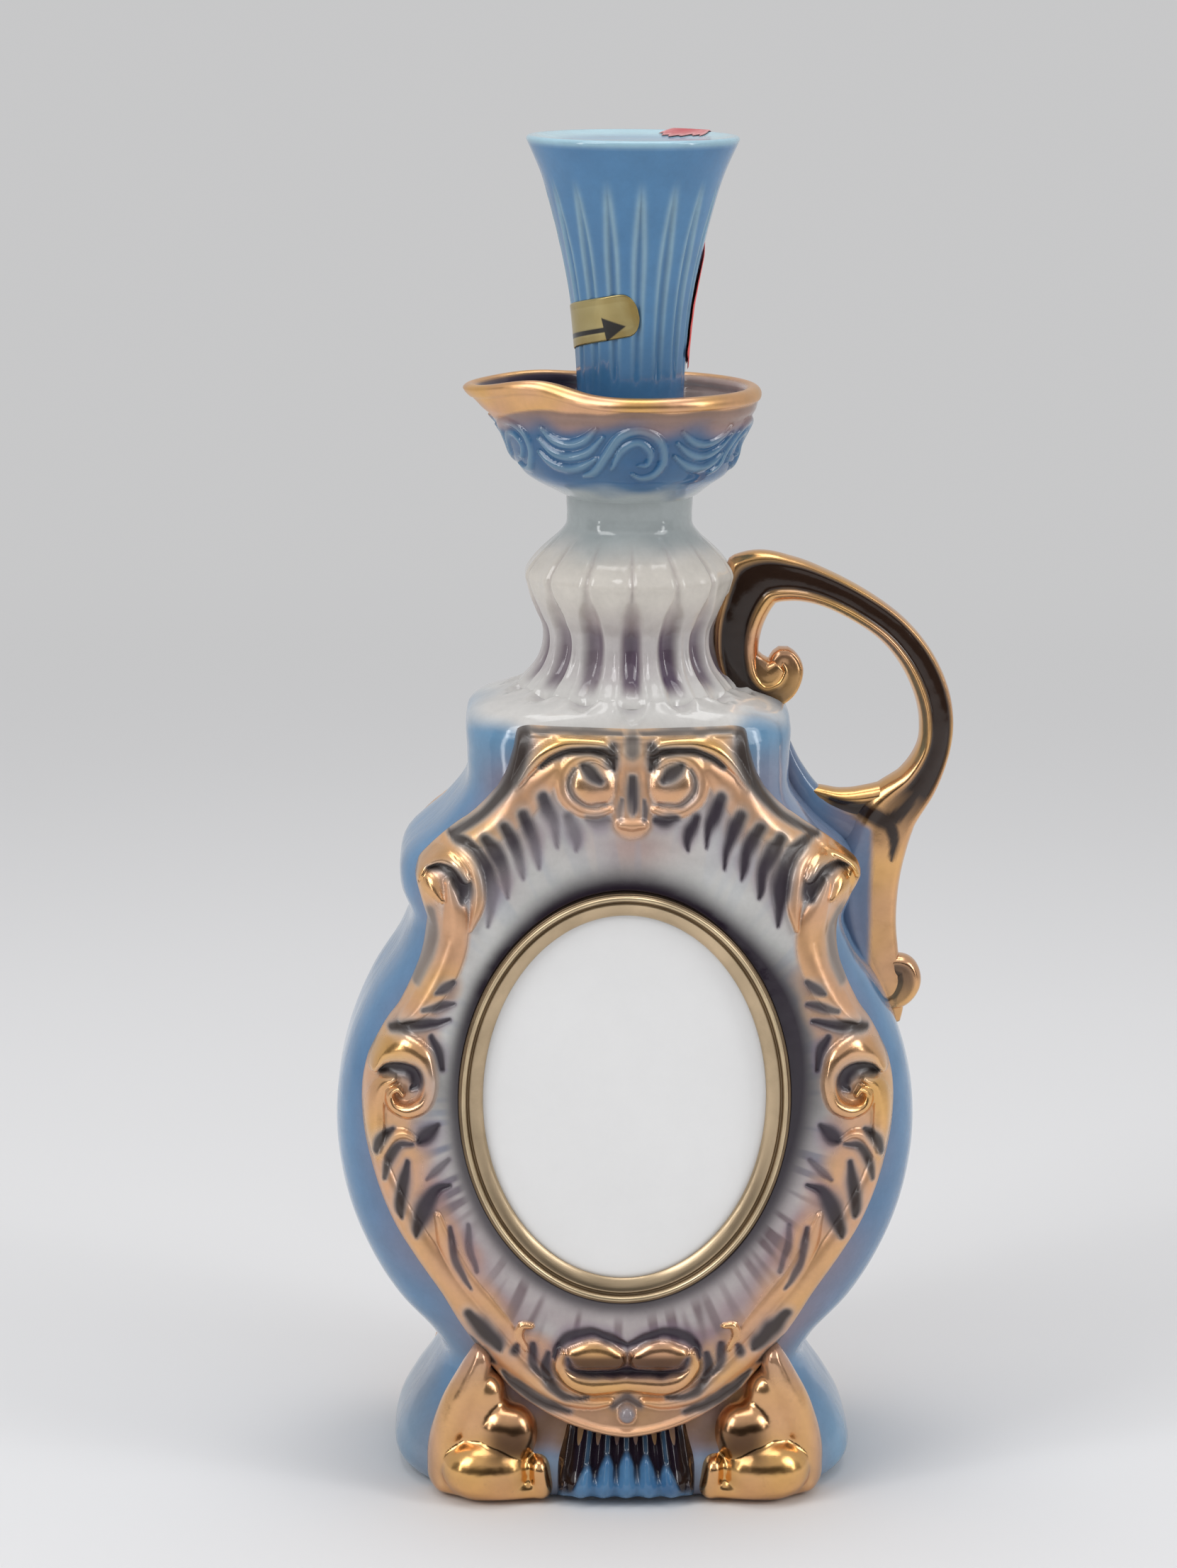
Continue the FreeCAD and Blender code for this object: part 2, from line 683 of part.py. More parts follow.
def volute(row):
    """Points and half-widths of a band that winds inwards to its eye."""
    x_share, z_share, radius_share, half_share, turns, start, hand = row
    centre = V(half_width(x_share), 0, body_height(z_share))
    steps = 11
    points, halves = [], []
    for i in range(steps + 1):
        done = i / steps
        radius = radius_share * ROLL_HALF_WIDTH * (1 - done) + VOLUTE_EYE_RADIUS * done
        turn = math.radians(start) + hand * 2 * math.pi * turns * done
        points.append(centre + V(radius * math.cos(turn), 0, radius * math.sin(turn)))
        halves.append((half_share * (1 - done) + VOLUTE_TIP_SHARE * done) * ROLL_HALF_WIDTH)
    return points, halves


def roll(start, end, rows):
    """A raised band of the frame as a flat face, coiled up at either end where a volute is named."""
    points, halves = [], []
    if start:
        coil, coil_halves = volute(VOLUTE_SHARES[start])
        points, halves = coil[::-1], coil_halves[::-1]
    for x_share, z_share, half_share in rows:
        points.append(V(half_width(x_share), 0, body_height(z_share)))
        halves.append(half_share * ROLL_HALF_WIDTH)
    if end:
        coil, coil_halves = volute(VOLUTE_SHARES[end])
        points, halves = points + coil, halves + coil_halves
    one_side, other_side = [], []
    for i, point in enumerate(points):
        along = (points[min(i + 1, len(points) - 1)] - points[max(i - 1, 0)]).normalize()
        across = V(-along.z, 0, along.x) * halves[i]
        one_side.append(point + across)
        other_side.append(point - across)
    edges = [open_curve(one_side), open_curve(other_side)]
    edges.append(Part.makeLine(one_side[0], other_side[0]))
    edges.append(Part.makeLine(one_side[-1], other_side[-1]))
    return Part.Face(Part.Wire(Part.__sortEdges__(edges)))


def frame(block):
    """The sprigged frame of the front face: a plate bent to the body, its rolled bands and its beads."""
    runs = []
    for side in (1, -1):
        for row in FRAME_OUTLINE_SHARES:
            runs.append(open_curve([V(side * half_width(x), 0, body_height(z)) for x, z in row]))
    outline = Part.Face(Part.Wire(Part.__sortEdges__(runs)))
    forms = [roll(*row).extrude(V(0, -BODY_DEPTH, 0)) for row in ROLL_SHARES]
    forms += [mirrored_x(form) for form in forms]
    for x_share, z_share in BEAD_SHARES:
        place = V(half_width(x_share), 0, body_height(z_share))
        forms.append(Part.makeCylinder(BEAD_RADIUS, BODY_DEPTH, place, V(0, -1, 0)))
    plate_face, roll_face = block.copy(), block.copy()
    plate_face.translate(V(0, -FRAME_RELIEF, 0))
    roll_face.translate(V(0, -FRAME_RELIEF - ROLL_RELIEF, 0))
    plate = outline.extrude(V(0, -BODY_DEPTH, 0)).common(plate_face)
    for form in forms:
        plate = plate.fuse(form.common(roll_face))
    return largest(plate.cut(block).cut(seat_cutter()))


# Feet and fan


def foot(hand):
    """One scroll foot at a front corner: a bulb with a stem that runs up the body."""
    rings = []
    place_x, place_y = FOOT_PLACE_SHARES
    for height, shift, length, depth in FOOT_SECTION_SHARES:
        half_x, half_y = length * FOOT_LENGTH / 2, depth * FOOT_DEPTH / 2
        inward = half_width(place_x) - shift * FOOT_LENGTH
        centre = V(inward, -place_y * BODY_DEPTH / 2, height * FOOT_HEIGHT)
        ring = []
        for i in range(SECTION_POINTS // 2):
            turn = 4 * math.pi * i / SECTION_POINTS
            ring.append(centre + V(half_x * math.cos(turn), half_y * math.sin(turn), 0))
        rings.append(closed_curve(ring))
    bulb = Part.makeLoft(rings, True, False)
    if hand < 0:
        bulb = mirrored_x(bulb)
    return bulb


def shell_fan(neighbours):
    """Ribs that spread from under the frame's bead down to the base, between the feet."""
    top = V(0, -FAN_DEPTH_SHARE * BODY_DEPTH / 2, body_height(FAN_TOP_SHARE))
    ribs = [Part.makeSphere(FAN_HUB_RADIUS, top)]
    for i in range(FAN_RIB_COUNT):
        lean = math.radians(FAN_SPREAD * (i / (FAN_RIB_COUNT - 1) - 0.5))
        length = (top.z - FAN_TIP_RADIUS) / math.cos(lean / 2)
        along = V(math.sin(lean), 0, -math.cos(lean))
        ribs.append(Part.makeCone(FAN_TOP_RADIUS, FAN_RIB_RADIUS, length, top, along))
        ribs.append(Part.makeSphere(FAN_TIP_RADIUS, top + along * length))
    fan = ribs[0].multiFuse(ribs[1:])
    for piece in neighbours:
        fan = fan.cut(piece)
    return largest(fan)


def export(name, shape):
    shape.exportStep(os.path.join("parts", name + ".step"))
    print(name, "solids", len(shape.Solids), "valid", shape.isValid(), "volume", round(shape.Volume, 1))


def main():
    os.makedirs("parts", exist_ok=True)
    block = body_block()
    neck = fluted_neck()
    front = frame(block)
    feet = {"right": foot(1), "left": foot(-1)}
    feet = {side: largest(piece.cut(block).cut(front)) for side, piece in feet.items()}
    fan = shell_fan([block, front] + list(feet.values()))

    export("body_shell", body_shell(block))
    export("fluted_neck", neck)
    export("pouring_bowl", pouring_bowl())
    export("handle", handle(block, neck))
    for face, placed in (("front", lambda s: s), ("back", mirrored_y)):
        export(face + "_frame", placed(front))
        export(face + "_bezel", placed(bezel()))
        export(face + "_medallion", placed(medallion()))
        export(face + "_shell_fan", placed(fan))
        for side, piece in feet.items():
            export(face + "_" + side + "_foot", placed(piece))
    export("stopper", stopper())
    export("cork_sleeve", cork_sleeve())
    export("open_label", open_label())
    export("seal_strip", seal_strip())


main()
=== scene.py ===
# %% [markdown]
# # A figural china decanter
# The decanter is slip-cast china: a hollow body on scroll feet, a fluted neck, a lipped bowl, a
# scroll handle and a corked stopper. A moulded frame of scrolls, gilt with copper lustre, goes
# round a white oval on each face. The imported part gives every piece its place, so the first cell
# loads it.

import math

import bpy
import numpy as np
from mathutils import Matrix, Vector


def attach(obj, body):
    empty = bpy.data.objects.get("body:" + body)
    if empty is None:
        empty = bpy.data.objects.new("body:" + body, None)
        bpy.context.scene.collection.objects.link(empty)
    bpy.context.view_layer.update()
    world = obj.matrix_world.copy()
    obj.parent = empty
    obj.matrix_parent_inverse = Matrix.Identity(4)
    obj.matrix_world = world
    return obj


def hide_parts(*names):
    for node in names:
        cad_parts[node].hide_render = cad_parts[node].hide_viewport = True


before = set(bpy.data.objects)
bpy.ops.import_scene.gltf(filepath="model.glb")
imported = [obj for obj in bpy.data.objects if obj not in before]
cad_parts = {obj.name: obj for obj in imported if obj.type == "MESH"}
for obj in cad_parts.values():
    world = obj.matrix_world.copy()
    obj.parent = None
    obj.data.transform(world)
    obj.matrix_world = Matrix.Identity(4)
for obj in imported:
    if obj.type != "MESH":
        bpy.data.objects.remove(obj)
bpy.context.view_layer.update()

# %% [markdown]
# ## Tools for moulding
# China has soft, flowing shapes, which a plaster mould gives it. A good start for such a skin is a
# flat grid whose points are pressed to their places in one go: one side of the grid runs round the
# piece and the other along it. The seams are then merged and the faces turned outwards. Sizes are
# in millimetres until the points are set.

# %% Soft steps and smooth tables
MM, TURN = 0.001, 2 * math.pi


def ease(low, high, value):
    """0 at low, 1 at high and an S between them; low may be the larger one."""
    share = np.clip((value - low) / (high - low), 0.0, 1.0)
    return share * share * (3 - 2 * share)


def bell(value, middle, wide):
    """1 at the middle, falling to 0 on both sides of it like a bell."""
    return np.exp(-(((value - middle) / wide) ** 2))


def dome(across):
    """1 on the line of a stroke or a flute, 0 from its edge outwards."""
    return np.clip(1 - across**2, 0, 1)


def flow(table, at):
    """Smooth values between the rows of a table, whose first column says where each row holds."""
    rows = np.asarray(table, float)
    where, what = rows[:, 0], rows[:, 1:]
    slope = np.gradient(what, where, axis=0)
    at = np.clip(np.atleast_1d(at), where[0], where[-1])
    i = np.clip(np.searchsorted(where, at) - 1, 0, len(where) - 2)
    gap = (where[i + 1] - where[i])[:, None]
    t = (at - where[i])[:, None] / gap
    start, end = what[i], what[i + 1]
    rise = gap * (slope[i] * (t**3 - 2 * t**2 + t) + slope[i + 1] * (t**3 - t**2))
    return start * (2 * t**3 - 3 * t**2 + 1) + end * (3 * t**2 - 2 * t**3) + rise


def through(knots, count):
    """A smooth line of count points through some knots."""
    knots = np.array(knots, float)
    return flow(np.c_[np.arange(len(knots)), knots], np.linspace(0, len(knots) - 1, count))


def spun(radius, turn, z):
    """Points at a distance from the upright axis and at an angle round it."""
    return np.c_[radius * np.cos(turn), radius * np.sin(turn), z]


def off_flute(turn, count, first):
    """Share of a flute's pitch by which an angle lies off the nearest flute, from -0.5 to 0.5."""
    phase = (turn - first) * count / TURN
    return phase - np.rint(phase)


# %% Soft patches and coats of colour
CLOUD_WAVES = 12


def cloud(place, size, seed):
    """Soft random patches about size millimetres across, from about -1 to 1."""
    rng = np.random.default_rng(seed)
    total = np.zeros(len(place))
    for _ in range(CLOUD_WAVES):
        way = rng.normal(size=3)
        way *= TURN / (size * rng.uniform(0.7, 1.6) * np.linalg.norm(way))
        total += np.cos(place @ way + rng.uniform(0, TURN))
    return total * 3 / CLOUD_WAVES


def tone(first, second, share):
    """Mixes two colours, or two arrays of them, by a share for each point."""
    first, second = np.asarray(first), np.asarray(second)
    return first + (second - first) * np.clip(share, 0, 1)[:, None]


def coats(paint, *layers):
    """Lays coats of colour over a first paint, each by its own share."""
    for colour, share in layers:
        paint = tone(paint, colour, share)
    return paint


# %% Points, paint and seams of a piece
MERGE = 2e-6


def tint(piece, marks):
    """Stores a colour, or a number, for each point of a piece."""
    for name, values in marks.items():
        values = np.asarray(values, float)
        kind = "FLOAT_COLOR" if values.ndim == 2 else "FLOAT"
        mark = piece.data.attributes.new(name, kind, "POINT")
        if values.ndim == 2:
            values = np.c_[np.clip(values, 0, 1), np.ones(len(values))]
            mark.data.foreach_set("color", values.ravel())
        else:
            mark.data.foreach_set("value", values)


def places_of(piece):
    """The points of a piece, in millimetres."""
    flat = np.empty(len(piece.data.vertices) * 3)
    piece.data.vertices.foreach_get("co", flat)
    return flat.reshape(-1, 3) / MM


def pick(*pieces):
    """Selects these pieces alone and makes the last one active."""
    bpy.ops.object.select_all(action="DESELECT")
    for piece in pieces:
        piece.select_set(True)
    bpy.context.view_layer.objects.active = pieces[-1]


def close_up(piece):
    """Merges the seams of a piece, turns its faces outwards and shades it smooth."""
    pick(piece)
    bpy.ops.object.mode_set(mode="EDIT")
    bpy.ops.mesh.select_all(action="SELECT")
    bpy.ops.mesh.remove_doubles(threshold=MERGE)
    bpy.ops.mesh.normals_make_consistent(inside=False)
    bpy.ops.object.mode_set(mode="OBJECT")
    bpy.ops.object.shade_smooth()


# %% A pressed grid
def moulded(name, press, *about, columns, rows):
    """A grid pressed to shape by press(u, v, ...), which gives all places and marks."""
    bpy.ops.object.select_all(action="DESELECT")
    bpy.ops.mesh.primitive_grid_add(x_subdivisions=columns, y_subdivisions=rows, size=2)
    piece = bpy.context.object
    piece.name = piece.data.name = name
    flat = places_of(piece) * MM
    place, marks = press((flat[:, 0] + 1) / 2, (flat[:, 1] + 1) / 2, *about)
    piece.data.vertices.foreach_set("co", (place * MM).ravel())
    tint(piece, marks)
    close_up(piece)
    print(name, "faces", len(piece.data.polygons))
    return piece


def step_of(v, rows):
    """The row of a table that each point of a grid belongs to."""
    return np.rint(v * (len(rows) - 1)).astype(int)


# %% A piece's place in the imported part
made_pieces = []


def stand_for(piece, body, slot, *nodes):
    """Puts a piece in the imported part: its body, its slot and the nodes it is shown instead of."""
    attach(piece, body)
    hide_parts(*nodes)
    made_pieces.append((piece, slot))


# %% [markdown]
# ## The body's shape
# Every level section of the body is a rounded oblong, between an ellipse and a box. A table of
# half-widths and half-depths over the height describes it, and the frame on its face needs the same
# table later, to lie on it. The piece was made by hand: on the front, the oval sits a little to the
# left and the right shoulder of the frame is a little wider. The back, which wasn't seen, is even.

# %% Sections of the body
BODY_HIGH, BODY_HALF_WIDE, BODY_HALF_DEEP = 174.5, 63.4, 36.0
BODY_SHARES = (
    (0.000, 0.755, 0.920, 3.2),
    (0.015, 0.792, 0.980, 3.2),
    (0.046, 0.790, 0.985, 3.2),
    (0.083, 0.738, 0.945, 3.2),
    (0.120, 0.668, 0.895, 3.2),
    (0.150, 0.630, 0.875, 3.2),
    (0.180, 0.672, 0.895, 3.2),
    (0.230, 0.795, 0.945, 3.2),
    (0.310, 0.920, 0.990, 3.3),
    (0.390, 0.985, 1.000, 3.4),
    (0.470, 1.000, 1.000, 3.4),
    (0.550, 0.962, 1.000, 3.5),
    (0.620, 0.882, 0.988, 3.7),
    (0.682, 0.776, 0.970, 3.9),
    (0.722, 0.742, 0.950, 4.0),
    (0.760, 0.778, 0.925, 4.0),
    (0.797, 0.765, 0.895, 4.0),
    (0.842, 0.634, 0.855, 3.9),
    (0.880, 0.556, 0.825, 3.8),
    (0.920, 0.550, 0.795, 3.7),
    (0.958, 0.552, 0.764, 3.4),
    (0.972, 0.541, 0.742, 3.2),
    (0.983, 0.502, 0.716, 2.8),
    (0.992, 0.436, 0.684, 2.3),
    (1.000, 0.3707, 0.6528, 2.0),
)
BODY_ROWS = np.array(BODY_SHARES) * (BODY_HIGH, BODY_HALF_WIDE, BODY_HALF_DEEP, 1)
FACES = {"front": -1, "back": 1}
OVAL_HIGH, OVAL_ASIDE = 90.74, {-1: -1.1, 1: 0.0}
SHOULDER_PULL = {-1: 0.074, 1: 0.0}
SEAT_WIDE, SEAT_TALL, SEAT_DEEP = 35.9, 45.8, 32.4


def oblong(turn, half_x, half_y, square):
    """A point of a rounded oblong at an angle."""
    c, s = np.cos(turn), np.sin(turn)
    swell = (np.abs(c) ** square + np.abs(s) ** square) ** (-1 / square)
    return half_x * c * swell, half_y * s * swell


def face_of_body(x, z):
    """How far in front of the middle the body's skin lies at points of its face."""
    half_x, half_y, square = flow(BODY_ROWS, z).T
    across = np.clip(np.abs(x) / half_x, 0, 0.9995)
    return half_y * (1 - across**square) ** (1 / square)


print("body sections:", len(BODY_ROWS))

# %% [markdown]
# ## Colours of the glazes
# The glazes were sprayed on and run into each other: sky blue, a white with some grey, a mauve, and
# a dark purple that was brushed into the hollows. The lustre is a metal film, copper with some
# gold. Each is one colour here, and the pieces mix them point by point, as the spray gun did.

# %% Colours
# PURPLE also paints shade in the hollows and the fan, and BROWN paints dark reflections on gilding.
WHITE, CREAM, MIST, BLUE, DEEP_BLUE, PALE_BLUE, MAUVE, ROSE, PURPLE = np.array((
    (0.62, 0.605, 0.58), (0.64, 0.60, 0.54), (0.57, 0.57, 0.55), (0.100, 0.235, 0.405),
    (0.030, 0.108, 0.250), (0.40, 0.60, 0.68), (0.270, 0.190, 0.205), (0.40, 0.255, 0.225),
    (0.040, 0.026, 0.045),
))
GOLD, PINK_GOLD, BROWN, TAN, SLATE = np.array((
    (0.80, 0.46, 0.17), (0.74, 0.42, 0.24), (0.050, 0.026, 0.017), (0.30, 0.18, 0.125),
    (0.30, 0.36, 0.45),
))

# %% [markdown]
# ## The china body
# The body is one skin: it starts in the middle of the recess under the base, goes out over the rim
# and up the outside, in at the neck's seat, and down through the bore into the hollow. A stack of
# level sections gives all of it. Where the white oval is set in, the face is pressed flat. Where
# the neck's flutes end, the shoulder is scooped.

# %% Levels of the body
BORE, NECK_FLUTES, FIRST_FLUTE = 9.6, 14, -math.pi / 2
WALL_WIDE, WALL_DEEP = 4.6, 7.2


def section(level, less_wide=0.0, less_deep=0.0):
    half_x, half_y, square = flow(BODY_ROWS, level)[0]
    return half_x - less_wide, half_y - less_deep, square, level


outer_levels = np.r_[0.35, np.linspace(0.9, 160, 118), np.linspace(160.8, 174.2, 30), BODY_HIGH]
body_levels = [(0.0, 0.0, 2.0, 1.5), (39.9, 25.1, 3.2, 1.5)]
body_levels += [(40.2, 25.4, 3.2, 0.0), (46.4, 31.6, 3.2, 0.0)]
body_levels += [section(level) for level in outer_levels]
hollow_start = len(body_levels)
body_levels += [(BORE, BORE, 2.0, 174.4), (BORE, BORE, 2.0, 170.2)]
body_levels += [section(level, WALL_WIDE, WALL_DEEP) for level in np.linspace(169.8, 6.0, 22)]
body_levels = np.array(body_levels + [(40.0, 22.0, 3.2, 5.0), (0.0, 0.0, 2.0, 5.0)])
print("body levels:", len(body_levels))


# %% Press the body
BODY_SEAM, SEAT_STEP = 0.125, 12
FLUTE_END, FLUTE_END_LONG, FLUTE_END_HALF = 23.6, 3.0, 3.1
FLUTE_END_DEEP, FLUTE_END_LIP = 1.1, 0.25
STORM, ASH = (0.30, 0.31, 0.40), (0.17, 0.165, 0.175)


def press_body(u, v):
    step = step_of(v, body_levels)
    half_x, half_y, square, z = body_levels[step].T
    x, y = oblong(TURN * (u + BODY_SEAM), half_x, half_y, square)
    aside = np.where(y < 0, OVAL_ASIDE[-1], OVAL_ASIDE[1])
    off_oval = np.hypot((x - aside) / SEAT_WIDE, (z - OVAL_HIGH) / SEAT_TALL)
    y = np.sign(y) * np.minimum(np.abs(y), SEAT_DEEP + SEAT_STEP * ease(0.99, 1.04, off_oval))
    outside = step < hollow_start
    reach = np.hypot(x, y)
    off = np.abs(off_flute(np.arctan2(y, x), NECK_FLUTES, FIRST_FLUTE))
    past = np.clip(reach - FLUTE_END, 0, FLUTE_END_LONG) / FLUTE_END_LONG
    half = FLUTE_END_HALF * np.sqrt(np.clip(1 - past**2, 0.0004, 1))
    across = np.minimum(off * TURN / NECK_FLUTES * reach / half, 9)
    shoulder = outside * ease(166, 168, z) * ease(20, 22, reach)
    scoop = shoulder * ease(26.7, 25.6, reach) * dome(across)
    lip = shoulder * ease(28.4, 26.8, reach) * bell(across, 1.2, 0.3)
    x, y = x * (1 - 0.020 * scoop + 0.010 * lip), y * (1 - 0.028 * scoop + 0.010 * lip)
    place = np.c_[x, y, z - FLUTE_END_DEEP * scoop + FLUTE_END_LIP * lip]
    groove = 0.35 * scoop * ease(25.8, 23.4, reach)
    return place, glaze_body(place, np.abs(y) / np.maximum(half_y, 1), groove, outside)


def glaze_body(place, to_face, groove, outside):
    x, _, z = place.T
    drift = cloud(place, 38, 3)
    smoky = 0.62 * ease(0.55, 0.93, to_face) * ease(168, 156, z)
    smoky_side = ease(120, 146, z) * ease(168, 158, z) * ease(20, 34, x) * 0.55
    # Greyer low on the far left of the body.
    ash_low_left = 0.5 * ease(-36, -46, x) * ease(44, 30, z)
    top = ease(167.4, 172.2, z + 1.3 * cloud(place, 16, 8) + 4 * ease(27, 14, np.abs(x)))
    skirt = ease(0.86, 0.97, to_face) * ease(9, 14, z) * ease(36, 28, z) * ease(40, 32, np.abs(x))
    skirt = skirt * outside * (0.8 + 0.3 * cloud(place, 9, 9))
    paint = coats(
        BLUE,
        (DEEP_BLUE, 0.16 + 0.16 * drift),
        (PALE_BLUE, 0.22 * ease(22, 4, z) + 0.18 * ease(150, 164, z)),
        (MAUVE * 1.15, smoky * (0.75 + 0.4 * cloud(place, 26, 5))),
        (STORM, smoky_side * (0.8 + 0.4 * drift)),
        (ASH, ash_low_left * (0.8 + 0.3 * drift)),
        (WHITE, top),
        (PURPLE * 3, groove),
        (WHITE * 0.9, 1.0 * ~outside),
        (tone(ROSE, GOLD, 0.5 + 0.5 * cloud(place, 12, 10)), skirt),
    )
    return {"paint": paint, "lustre": 0.75 * np.clip(skirt, 0, 1)}


china_body = moulded("china_body", press_body, columns=320, rows=len(body_levels) - 1)
stand_for(china_body, "vessel", "body_glaze", "body_shell")

# %% [markdown]
# ## Strokes for the ornament
# The frame is made of rolled bands that end in volutes, like ropes of clay, and of brushed hollows
# between them, dark with purple glaze and painted shade. Each is one stroke: a line of points with
# a half-width at each. For every point of the face the nearest stroke says how far out across it
# the point lies, from 0 on its line to 1 at its edge, and that gives height and paint.

# %% Nearness to a stroke
FAR_OFF, STROKE_STEPS, STROKE_REACH = 9.0, 7, 2.5


def across_stroke(x, z, stroke):
    """How far across a stroke each point lies: 0 on its line, 1 at its edge, or FAR_OFF."""
    line = through(stroke, STROKE_STEPS * (len(stroke) - 1) + 1)
    reach = STROKE_REACH * max(half for _, _, half in stroke) + 1
    low, high = line[:, :2].min(0) - reach, line[:, :2].max(0) + reach
    near = np.flatnonzero((x > low[0]) & (x < high[0]) & (z > low[1]) & (z < high[1]))
    found, best = np.full(len(x), FAR_OFF), np.full(len(near), FAR_OFF)
    px, pz = x[near], z[near]
    for a, b in zip(line, line[1:]):
        along = b[:2] - a[:2]
        share = ((px - a[0]) * along[0] + (pz - a[1]) * along[1]) / max(along @ along, 1e-9)
        share = np.clip(share, 0, 1)
        off = np.hypot(px - a[0] - share * along[0], pz - a[1] - share * along[1])
        best = np.minimum(best, off / (a[2] + (b[2] - a[2]) * share))
    found[near] = best
    return found


# %% [markdown]
# ## The gilt frame
# The frame is sprigged on: it was moulded by itself and laid on the wet body. Its right half is
# drawn here as strokes of x, height and half-width, and the left half mirrors it, apart from the
# one shoulder that was pressed wider. The grid for it runs round the oval, from the bezel out to
# the frame's outline, so that its edges are clean, and then back under itself, so that it is
# closed.

# %% Outline of the frame
FRAME_EDGE = (
    (0, 169.4), (8, 169.7), (16, 169.8), (24.2, 169.9), (25, 165.4), (26.3, 160.6), (28.3, 156.8),
    (32, 152.2), (35.3, 149.2), (38.6, 146.8), (42.4, 143.4), (45.2, 140.6), (46, 137.4),
    (45, 133.8), (43.2, 128.5), (44.2, 121), (46.6, 115), (49.2, 109.8), (51.8, 106.3),
    (53.9, 102.3), (56, 98), (57.2, 93), (57.5, 88), (57, 81.7), (55.8, 76), (53.4, 68.3),
    (50.3, 61.2), (45.6, 54), (40, 46), (35.8, 38), (31.6, 31.4), (25.4, 24), (14.6, 17.8),
    (6.4, 15.2), (0, 14.2),
)
EDGE_STEPS, EDGE_BLUR, PULL_ROUNDS = 8, 3, 8
PULL_HIGH, PULL_TALL = 137.5, 10.5


def frame_reach(turn):
    """Distance of the frame's outline from the middle of the oval, at an angle."""
    edge = np.array(FRAME_EDGE) - (0, OVAL_HIGH)
    fine = []
    for a, b in zip(edge, edge[1:]):
        fine += [a + (b - a) * t for t in np.linspace(0, 1, EDGE_STEPS + 1)[:-1]]
    across, up = np.array(fine + [edge[-1]]).T
    angle, radius = np.arctan2(up, across), np.hypot(across, up)
    window = 2 * EDGE_BLUR + 1
    padded = np.pad(radius, EDGE_BLUR, mode="edge")
    radius = np.convolve(padded, np.ones(window) / window, mode="valid")
    order = np.argsort(angle)
    folded = np.where(np.cos(turn) >= 0, turn, math.pi - turn)
    folded = np.arctan2(np.sin(folded), np.cos(folded))
    return np.interp(folded, angle[order], radius[order])


def drawn(x, z, pull):
    """Half-width in the pattern; the right shoulder was pressed wider by a share of pull."""
    wide = np.abs(x)
    return wide * (1 - pull * (x > 0) * bell(z, PULL_HIGH, PULL_TALL) * ease(20, 36, wide))


def edge_reach(turn, pull):
    """Distance of the outline with its shoulder pulled, found in a few rounds."""
    reach = frame_reach(turn)
    for _ in range(PULL_ROUNDS):
        x, up = reach * np.cos(turn), reach * np.sin(turn)
        wide = drawn(x, OVAL_HIGH + up, pull)
        reach = reach * frame_reach(np.arctan2(up, wide)) / np.hypot(wide, up)
    return reach


def oval_reach(turn, wide, tall, aside):
    """Distance of an oval's line from the middle, at an angle; the oval may sit a little aside."""
    across, up = np.cos(turn) / wide, np.sin(turn) / tall
    return 1 / np.hypot(across, up) + aside * across / wide / (across**2 + up**2)


